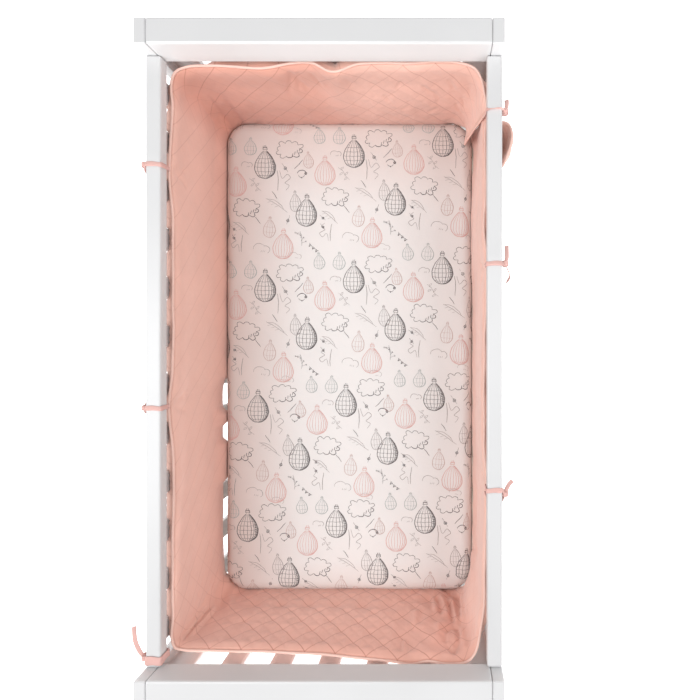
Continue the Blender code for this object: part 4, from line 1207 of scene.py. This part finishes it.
def sheet_lift(x, y, z, low, high):
    """How far the sheet stands off the mattress: soft waves on top, gathers down its sides and corners."""
    centre = (high[:2] + low[:2]) / 2
    half = (high[:2] - low[:2]) / 2
    px, py = x - centre[0], y - centre[1]
    inset = np.minimum(half[0] - np.abs(px), half[1] - np.abs(py))
    along = np.where(half[0] - np.abs(px) < half[1] - np.abs(py), py, px)
    waves = (np.sin(px * 21.0 + 2.0 * np.sin(py * 6.0)) * np.sin(py * 13.0 + 1.5 * np.sin(px * 9.0))
             + 0.5 * np.sin(px * 47.0 + py * 31.0) * np.sin(py * 19.0 - px * 11.0))
    gathers = np.sin(along * 330.0 + 3.0 * np.sin(along * 41.0)) * (0.5 + 0.5 * np.sin(along * 29.0 + 1.0))
    near_edge = np.exp(-((inset - 0.006) / 0.016) ** 2)
    down = smooth_step((high[2] - z) / 0.05)
    corner = np.exp(-((half[0] - np.abs(px)) ** 2 + (half[1] - np.abs(py)) ** 2) / 0.09 ** 2)
    radial = np.sin(np.arctan2(half[1] - np.abs(py) + 0.02, half[0] - np.abs(px) + 0.02) * 17.0)
    lift = 0.0006 * waves + 0.0005 * gathers * np.maximum(near_edge, down) + 0.0007 * radial * corner
    return np.clip(lift, -SHEET_SLACK, SHEET_LIFT)


def sheet_surface(x, y, z, low, high, above=0.0):
    at, normal = slab_point(x, y, z, low, high)
    lift = sheet_lift(at[..., 0], at[..., 1], at[..., 2], low, high) + above
    return at + normal * lift[..., None]


def over_edge(xy, low, high):
    """Flat points of the sheet's cloth on the slab's box: what passes an edge goes down that side."""
    inside = np.clip(xy, low[:2], high[:2])
    past = np.abs(xy - inside).max(axis=-1)
    return inside[..., 0], inside[..., 1], high[2] - past


def slab_patches(low, high, cell, hem, surface):
    """The slab's top, four sides and turned-under hem as grids of points."""
    nx, ny = (int(round(s / cell)) for s in (high[:2] - low[:2]))
    nz = int(round((high[2] - low[2]) / cell))
    xs, ys, zs = (np.linspace(low[n], high[n], c + 1) for n, c in enumerate((nx, ny, nz)))
    grids = []
    x, y = np.meshgrid(xs, ys, indexing="ij")
    grids.append(surface(x, y, np.full_like(x, high[2]), low, high))
    for flip, at in ((True, low[0]), (False, high[0])):
        y, z = np.meshgrid(ys, zs, indexing="ij")
        made = surface(np.full_like(y, at), y, z, low, high)
        grids.append(made[::-1] if flip else made)
    for flip, at in ((False, low[1]), (True, high[1])):
        x, z = np.meshgrid(xs, zs, indexing="ij")
        made = surface(x, np.full_like(x, at), z, low, high)
        grids.append(made[::-1] if flip else made)
    return grids, hem_grid(low, high, cell, hem, surface)


def hem_grid(low, high, cell, hem, surface):
    """A ring under the slab from its lower edge inwards."""
    nx, ny = (int(round(s / cell)) for s in (high[:2] - low[:2]))
    xs, ys = np.linspace(low[0], high[0], nx + 1), np.linspace(low[1], high[1], ny + 1)
    ring = ([(x, low[1]) for x in xs] + [(high[0], y) for y in ys[1:]]
            + [(x, high[1]) for x in xs[::-1][1:]] + [(low[0], y) for y in ys[::-1][1:]])
    ring = np.array(ring)
    centre = (low[:2] + high[:2]) / 2
    half = (high[:2] - low[:2]) / 2
    steps = np.linspace(0.0, hem, max(3, int(round(hem / cell))) + 1)
    shrunk = [centre + (ring - centre) * (half - s) / half for s in steps]
    flat = np.stack(shrunk, axis=1)
    return surface(flat[..., 0], flat[..., 1], np.full(flat.shape[:2], low[2]), low, high)


def slab_object(name, low, high, cell, hem, surface, material):
    """The patches welded into one open skin, or a closed one when the hem meets in the middle."""
    grids, under = slab_patches(low, high, cell, hem, surface)
    points, faces = [], []
    start = 0
    for grid in grids + [under]:
        points.append(grid.reshape(-1, 3))
        faces += grid_faces(grid.shape[0], grid.shape[1], start)
        start += grid.shape[0] * grid.shape[1]
    obj = object_of(name, np.concatenate(points), faces, material)
    weld = obj.modifiers.new("weld", "WELD")
    weld.merge_threshold = WELD_REACH
    return obj


def apply_modifiers(obj):
    graph = bpy.context.evaluated_depsgraph_get()
    made = bpy.data.meshes.new_from_object(obj.evaluated_get(graph))
    old = obj.data
    obj.modifiers.clear()
    obj.data = made
    bpy.data.meshes.remove(old)


def node_corners(node):
    low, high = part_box(node)
    return np.array(low), np.array(high)


def build_mattress(material):
    low, high = node_corners("mattress")
    low, high = low + MATTRESS_INSET, high - MATTRESS_INSET
    obj = slab_object("mattress_pad", low, high, MATTRESS_CELL, MATTRESS_HEM,
                      lambda x, y, z, a, b: slab_point(x, y, z, a, b)[0], material)
    apply_modifiers(obj)
    on_frame(obj, "ticking", "mattress")
    return obj


def build_sheet(material, inks):
    low, high = node_corners("fitted_sheet")
    low, high = low + SHEET_SHRINK, high - np.array([SHEET_SHRINK, SHEET_SHRINK, SHEET_LIFT * 0.5])
    obj = slab_object("sheet_cloth", low, high, SHEET_CELL, SHEET_HEM, sheet_surface, material)
    apply_modifiers(obj)
    on_frame(obj, "print", "fitted_sheet")
    prints = build_print(inks, low, high)
    return obj


# ---------------------------------------------------------------- the sheet's print

def arc_points(cx, cy, rx, ry, start, end, count):
    return [(cx + rx * math.cos(math.radians(start + (end - start) * n / (count - 1))),
             cy + ry * math.sin(math.radians(start + (end - start) * n / (count - 1)))) for n in range(count)]


def balloon_half(t):
    """Half width of a balloon, as a share, from its mouth at 0 to its crown at 1."""
    if t > 0.60:
        return math.sqrt(max(0.0, 1.0 - ((t - 0.60) / 0.40) ** 2))
    return 0.20 + 0.80 * math.sin(math.pi / 2 * t / 0.60) ** 0.9


def balloon(wide, high, gores, hoops, heavy):
    """Strokes of a balloon with its basket at y < 0: outline, gores, hoops, ropes and basket."""
    strokes = []
    steps = 15
    heights = [math.sin(math.pi / 2 * n / (steps - 1)) for n in range(steps)]
    for share in gores:
        line = [(share * wide / 2 * balloon_half(t), (t - 0.5) * high) for t in heights]
        edge = abs(share) > 0.99
        shadow = share > 0.25
        strokes.append((line, (1.9 if edge else 1.0) * heavy * (1.35 if shadow else 1.0)))
    for t in hoops:
        half = wide / 2 * balloon_half(t)
        strokes.append((arc_points(0, (t - 0.5) * high - high * 0.02, half, high * 0.030, 180, 0, 9), 0.8 * heavy))
    mouth = -high / 2
    basket = wide * 0.10
    drop = high * 0.17
    for sign in (-1, 1):
        strokes.append(([(sign * basket * 0.8, mouth + 1.0), (sign * basket * 0.55, mouth - drop * 0.35)], 0.9 * heavy))
        strokes.append(([(sign * basket, mouth - drop * 0.35), (sign * basket * 0.85, mouth - drop)], 2.3 * heavy))
        strokes.append(([(sign * basket * 0.4, mouth - drop * 0.95), (sign * basket * 0.35, mouth - drop * 1.30)], 2.2 * heavy))
    strokes.append(([(-basket, mouth - drop * 0.40), (basket, mouth - drop * 0.40)], 1.6 * heavy))
    strokes.append(([(-basket * 0.9, mouth - drop * 0.80), (basket * 0.9, mouth - drop * 0.80)], 3.0 * heavy))
    return strokes


def balloon_net(wide, high):
    strokes = balloon(wide, high, (-1.0, -0.72, -0.38, 0.0, 0.36, 0.62, 0.80, 0.91, 1.0), (0.26, 0.42, 0.58, 0.74, 0.88), 1.0)
    for t in (0.36, 0.47, 0.55, 0.63):
        half = wide / 2 * balloon_half(t)
        strokes.append(([(half * 0.70, (t - 0.5) * high), (half * 0.95, (t - 0.47) * high)], 2.2))
    return strokes


def balloon_gores(wide, high):
    return balloon(wide, high, (-1.0, -0.74, -0.46, -0.16, 0.14, 0.42, 0.66, 0.84, 1.0), (0.90,), 0.95)


def balloon_small(wide, high):
    return balloon(wide, high, (-1.0, -0.45, 0.08, 0.55, 1.0), (0.40, 0.70), 0.75)


def cloud(wide, high):
    """Uneven scallops round an oval, heavier at the lower right, with shading ticks there."""
    strokes = []
    bumps = 10
    for n in range(bumps):
        a, b = math.tau * n / bumps, math.tau * (n + 1) / bumps
        near, far = ((wide * 0.43 * math.cos(t), high * 0.40 * math.sin(t)) for t in (a, b))
        puff = 0.53 + 0.05 * math.sin(n * 2.3)
        quarter, rest = ((wide * puff * math.cos(a + (b - a) * k), high * puff * math.sin(a + (b - a) * k))
                         for k in (0.3, 0.7))
        strokes.append(([near, quarter, rest, far], 2.0 if n in (0, 1, 2) else 1.3))
    for n in range(4):
        x = wide * (0.10 + 0.10 * n)
        y = high * (0.42 - 0.09 * n)
        strokes.append(([(x, y), (x + wide * 0.03, y - high * 0.18)], 2.3))
    return strokes


def cloud_open(wide, high):
    """A fainter cloud whose outline is left open below."""
    top = arc_points(-wide * 0.12, 0, wide * 0.36, high * 0.45, 170, 330, 8)
    puff = arc_points(wide * 0.26, high * 0.06, wide * 0.24, high * 0.34, 240, 420, 8)
    ticks = [([(wide * 0.1 * n, high * 0.30), (wide * 0.1 * n + 1.2, high * 0.16)], 1.6) for n in (0, 1, 2)]
    return [(top, 1.2), (puff, 1.3), *ticks]


def bird(wide, high):
    back = arc_points(0, high * 0.1, wide / 2, high / 2, 195, 345, 9)
    belly = arc_points(0, high * 0.05, wide * 0.34, high * 0.36, 20, 165, 7)
    head = arc_points(wide * 0.44, -high * 0.02, wide * 0.10, high * 0.10, 0, 360, 7)
    return [(back, 2.0), (belly, 1.3), (head, 3.0),
            ([(-wide * 0.05, high * 0.40), (wide * 0.02, high * 0.52)], 3.2)]


def kite(wide, high):
    side = wide * 0.26
    body = [(0, -high * 0.10), (side, high * 0.10), (0, high * 0.22), (-side, high * 0.10), (0, -high * 0.10)]
    bar = [(-wide * 0.1, high * 0.08), (wide * 0.12, high * 0.10)]
    string = [(0, -high * 0.5), (0, high * 0.5)]
    return [(body, 1.6), (bar, 3.2), (string, 1.1)]


def dash(wide, high):
    stroke = [(0, -high / 2), (wide * 0.12, 0), (0, high / 2)]
    tick = [(wide * 0.2, -high * 0.1), (wide * 0.1, high * 0.3)]
    return [(stroke, 1.4), (tick, 1.2)]


def feather(wide, high):
    """A long quill with a few open barbs."""
    quill = [(0, -high / 2), (wide * 0.10, -high * 0.1), (-wide * 0.05, high / 2)]
    vane = [(0, -high * 0.46), (wide * 0.42, -high * 0.20), (wide * 0.30, high * 0.16), (-wide * 0.03, high * 0.34)]
    strokes = [(quill, 1.2), (vane, 1.1)]
    for n in range(3):
        y = high * (-0.28 + 0.17 * n)
        strokes.append(([(0, y), (-wide * 0.34, y - high * 0.09)], 1.1))
    return strokes


def twig(wide, high):
    stem = [(0, -high / 2), (wide * 0.12, -high * 0.15), (-wide * 0.05, high * 0.15), (wide * 0.05, high / 2)]
    strokes = [(stem, 1.0)]
    for n in range(4):
        y = high * (-0.30 + 0.2 * n)
        sign = -1 if n % 2 else 1
        leaf = [(0, y), (sign * wide * 0.26, y - high * 0.07), (sign * wide * 0.5, y - high * 0.02),
                (sign * wide * 0.2, y + high * 0.03), (0, y)]
        strokes.append((leaf, 0.9))
    return strokes


def ribbon(wide, high):
    """A loose looping ribbon."""
    curl = [(-wide * 0.45, -high * 0.45), (-wide * 0.38, -high * 0.05), (-wide * 0.42, high * 0.45)]
    loop = [(-wide * 0.30, -high * 0.45), (-wide * 0.12, -high * 0.08), (wide * 0.18, -high * 0.28),
            (wide * 0.42, -high * 0.12),
            (wide * 0.20, high * 0.02), (wide * 0.05, high * 0.12),
            (wide * 0.34, high * 0.24), (wide * 0.12, high * 0.45)]
    return [(curl, 1.7), (loop, 1.4)]


def spray(wide, high):
    strokes = [([(0, -high / 2), (wide * 0.08, 0), (-wide * 0.04, high / 2)], 0.9)]
    for n in range(5):
        a = math.radians(200 + 35 * n)
        y = high * (-0.35 + 0.17 * n)
        strokes.append(([(0, y), (wide * 0.45 * math.cos(a), y + wide * 0.3 * math.sin(a))], 1.0))
        strokes.append((arc_points(wide * 0.45 * math.cos(a), y + wide * 0.3 * math.sin(a), 1.6, 1.6, 0, 300, 6), 1.0))
    return strokes


def bunting(wide, high):
    strokes = [([(-wide / 2, 0), (0, high * 0.2), (wide / 2, 0)], 1.0)]
    for n in range(3):
        x = wide * (-0.34 + 0.34 * n)
        strokes.append(([(x - 2.4, 0.5), (x, high * 0.55), (x + 2.4, 0.5)], 1.8))
    return strokes


DRAW = {draw.__name__: draw for draw in (balloon_net, balloon_gores, balloon_small, cloud, cloud_open,
                                         bird, kite, dash, feather, twig, ribbon, spray, bunting)}


def stroke_points(line):
    """The stroke's points, rounded through the ones it was drawn with."""
    return smooth_path([(x, y) for x, y in line], steps=3) if 2 < len(line) < 12 else np.array(line, dtype=float)


def placed_strokes(motif, origin, wobble):
    """World (x, y) strokes of one motif of one repeat, with a hand's small unevenness."""
    lean = math.radians(motif.lean)
    turn = np.array([[math.cos(lean), -math.sin(lean)], [math.sin(lean), math.cos(lean)]])
    made = []
    for line, width in DRAW[motif.kind](motif.wide, motif.high):
        local = stroke_points(line)
        local = local + 0.35 * np.sin(local[:, ::-1] * 0.31 + wobble)
        local = local @ turn.T + np.array([motif.x, motif.y])
        world = np.array(origin) + local * np.array([0.001, -0.001])
        made.append((world, width * 0.001))
    return made


def build_print(inks, low, high):
    """Thin ink strokes laid on the sheet's top, one piece for each ink."""
    past = MATTRESS_EDGE
    gathered = {name: ([], []) for name in INKS}
    for across in range(-3, 4):
        for down, row in enumerate(PRINT_ROWS):
            origin = (row.x + across * row.across_x, row.y + across * row.across_y)
            for number, motif in enumerate(REPEAT):
                for world, width in placed_strokes(motif, origin, across + 2.0 * down + number):
                    if ((world > low[:2] - past) & (world < high[:2] + past)).all():
                        add_stroke(gathered[motif.ink], world, width, low, high)
    made = []
    for name, (points, faces) in gathered.items():
        obj = object_of("print_" + name, points, faces, inks[name], smooth=False)
        on_frame(obj, "print")
        made.append(obj)
    return made


def add_stroke(store, world, width, low, high):
    """One stroke as a flat ribbon that follows the sheet, thinning at both ends."""
    points, faces = store
    run = unit(np.gradient(world, axis=0))
    across = np.stack([-run[:, 1], run[:, 0]], axis=1)
    share = np.linspace(0.0, 1.0, len(world))
    half = width / 2 * (0.55 + 0.45 * np.sin(math.pi * np.clip(share * 0.9 + 0.05, 0, 1)))
    start = len(points)
    for side in (-1, 1):
        xy = world + across * side * half[:, None]
        points.extend(sheet_surface(*over_edge(xy, low, high), low, high, INK_LIFT).tolist())
    count = len(world)
    faces.extend((start + k, start + k + 1, start + count + k + 1, start + count + k) for k in range(count - 1))


# ---------------------------------------------------------------- crib, camera and light

def dress_crib(paint, board):
    for name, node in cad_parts.items():
        if name.startswith(("post_", "head_", "foot_", "left_", "right_")):
            set_material(node, paint)
        elif name == "mattress_board":
            set_material(node, board)


def set_material(node, material):
    if not node.material_slots:
        node.data.materials.append(material)
    for slot in node.material_slots:
        slot.material = material


def build_camera():
    data = bpy.data.cameras.new("camera")
    data.lens = CAMERA_LENS
    data.sensor_width = CAMERA_SENSOR
    data.shift_x, data.shift_y = CAMERA_SHIFT
    camera = bpy.data.objects.new("camera", data)
    camera.location = CAMERA_AT
    bpy.context.scene.collection.objects.link(camera)
    bpy.context.scene.camera = camera


def area_light(name, at, size, size_y, watts, aim):
    data = bpy.data.lights.new(name, "AREA")
    data.shape = "RECTANGLE"
    data.size, data.size_y = size, size_y
    data.energy = watts
    light = bpy.data.objects.new(name, data)
    light.location = at
    light.rotation_euler = (Vector(aim) - Vector(at)).to_track_quat("-Z", "Y").to_euler()
    bpy.context.scene.collection.objects.link(light)


def build_light_and_floor():
    world = bpy.data.worlds.new("studio")
    world.use_nodes = True
    world.node_tree.nodes["Background"].inputs["Color"].default_value = (1.0, 1.0, 1.0, 1.0)
    world.node_tree.nodes["Background"].inputs["Strength"].default_value = WORLD_STRENGTH
    bpy.context.scene.world = world
    for light in LIGHTS:
        area_light(*light)
    made, nodes, links, shader = new_material("floor_white", FLOOR, 0.9)
    patch = noise_of(nodes, links, object_vector(nodes), 1.5, 1.0)
    links.new(tinted(nodes, links, patch, shade(FLOOR, 0.995), FLOOR), shader.inputs["Base Color"])
    shader.inputs["Emission Color"].default_value = (1.0, 1.0, 1.0, 1.0)
    shader.inputs["Emission Strength"].default_value = FLOOR_GLOW
    corners = [(x * FLOOR_HALF, y * FLOOR_HALF, 0) for x, y in ((-1, -1), (1, -1), (1, 1), (-1, 1))]
    floor = object_of("floor", corners, [(0, 1, 2, 3)], made, smooth=False)


def main():
    bpy.context.scene.view_settings.view_transform = "Standard"
    build_camera()
    build_light_and_floor()
    dress_crib(paint_material("white_paint", PAINT), board_material())
    build_mattress(ticking_material())
    build_sheet(sheet_material(), {name: ink_material(name, color) for name, color in INKS.items()})
    pad = build_pad(quilt_material())
    build_piping(cloth_material("piping_cotton", PIPING, 320.0, 1500.0))
    tie_cotton = cloth_material("tie_cotton", TIE_PINK, 260.0, 1500.0)
    for tie in TIES:
        build_tie(tie, tie_cotton)


main()
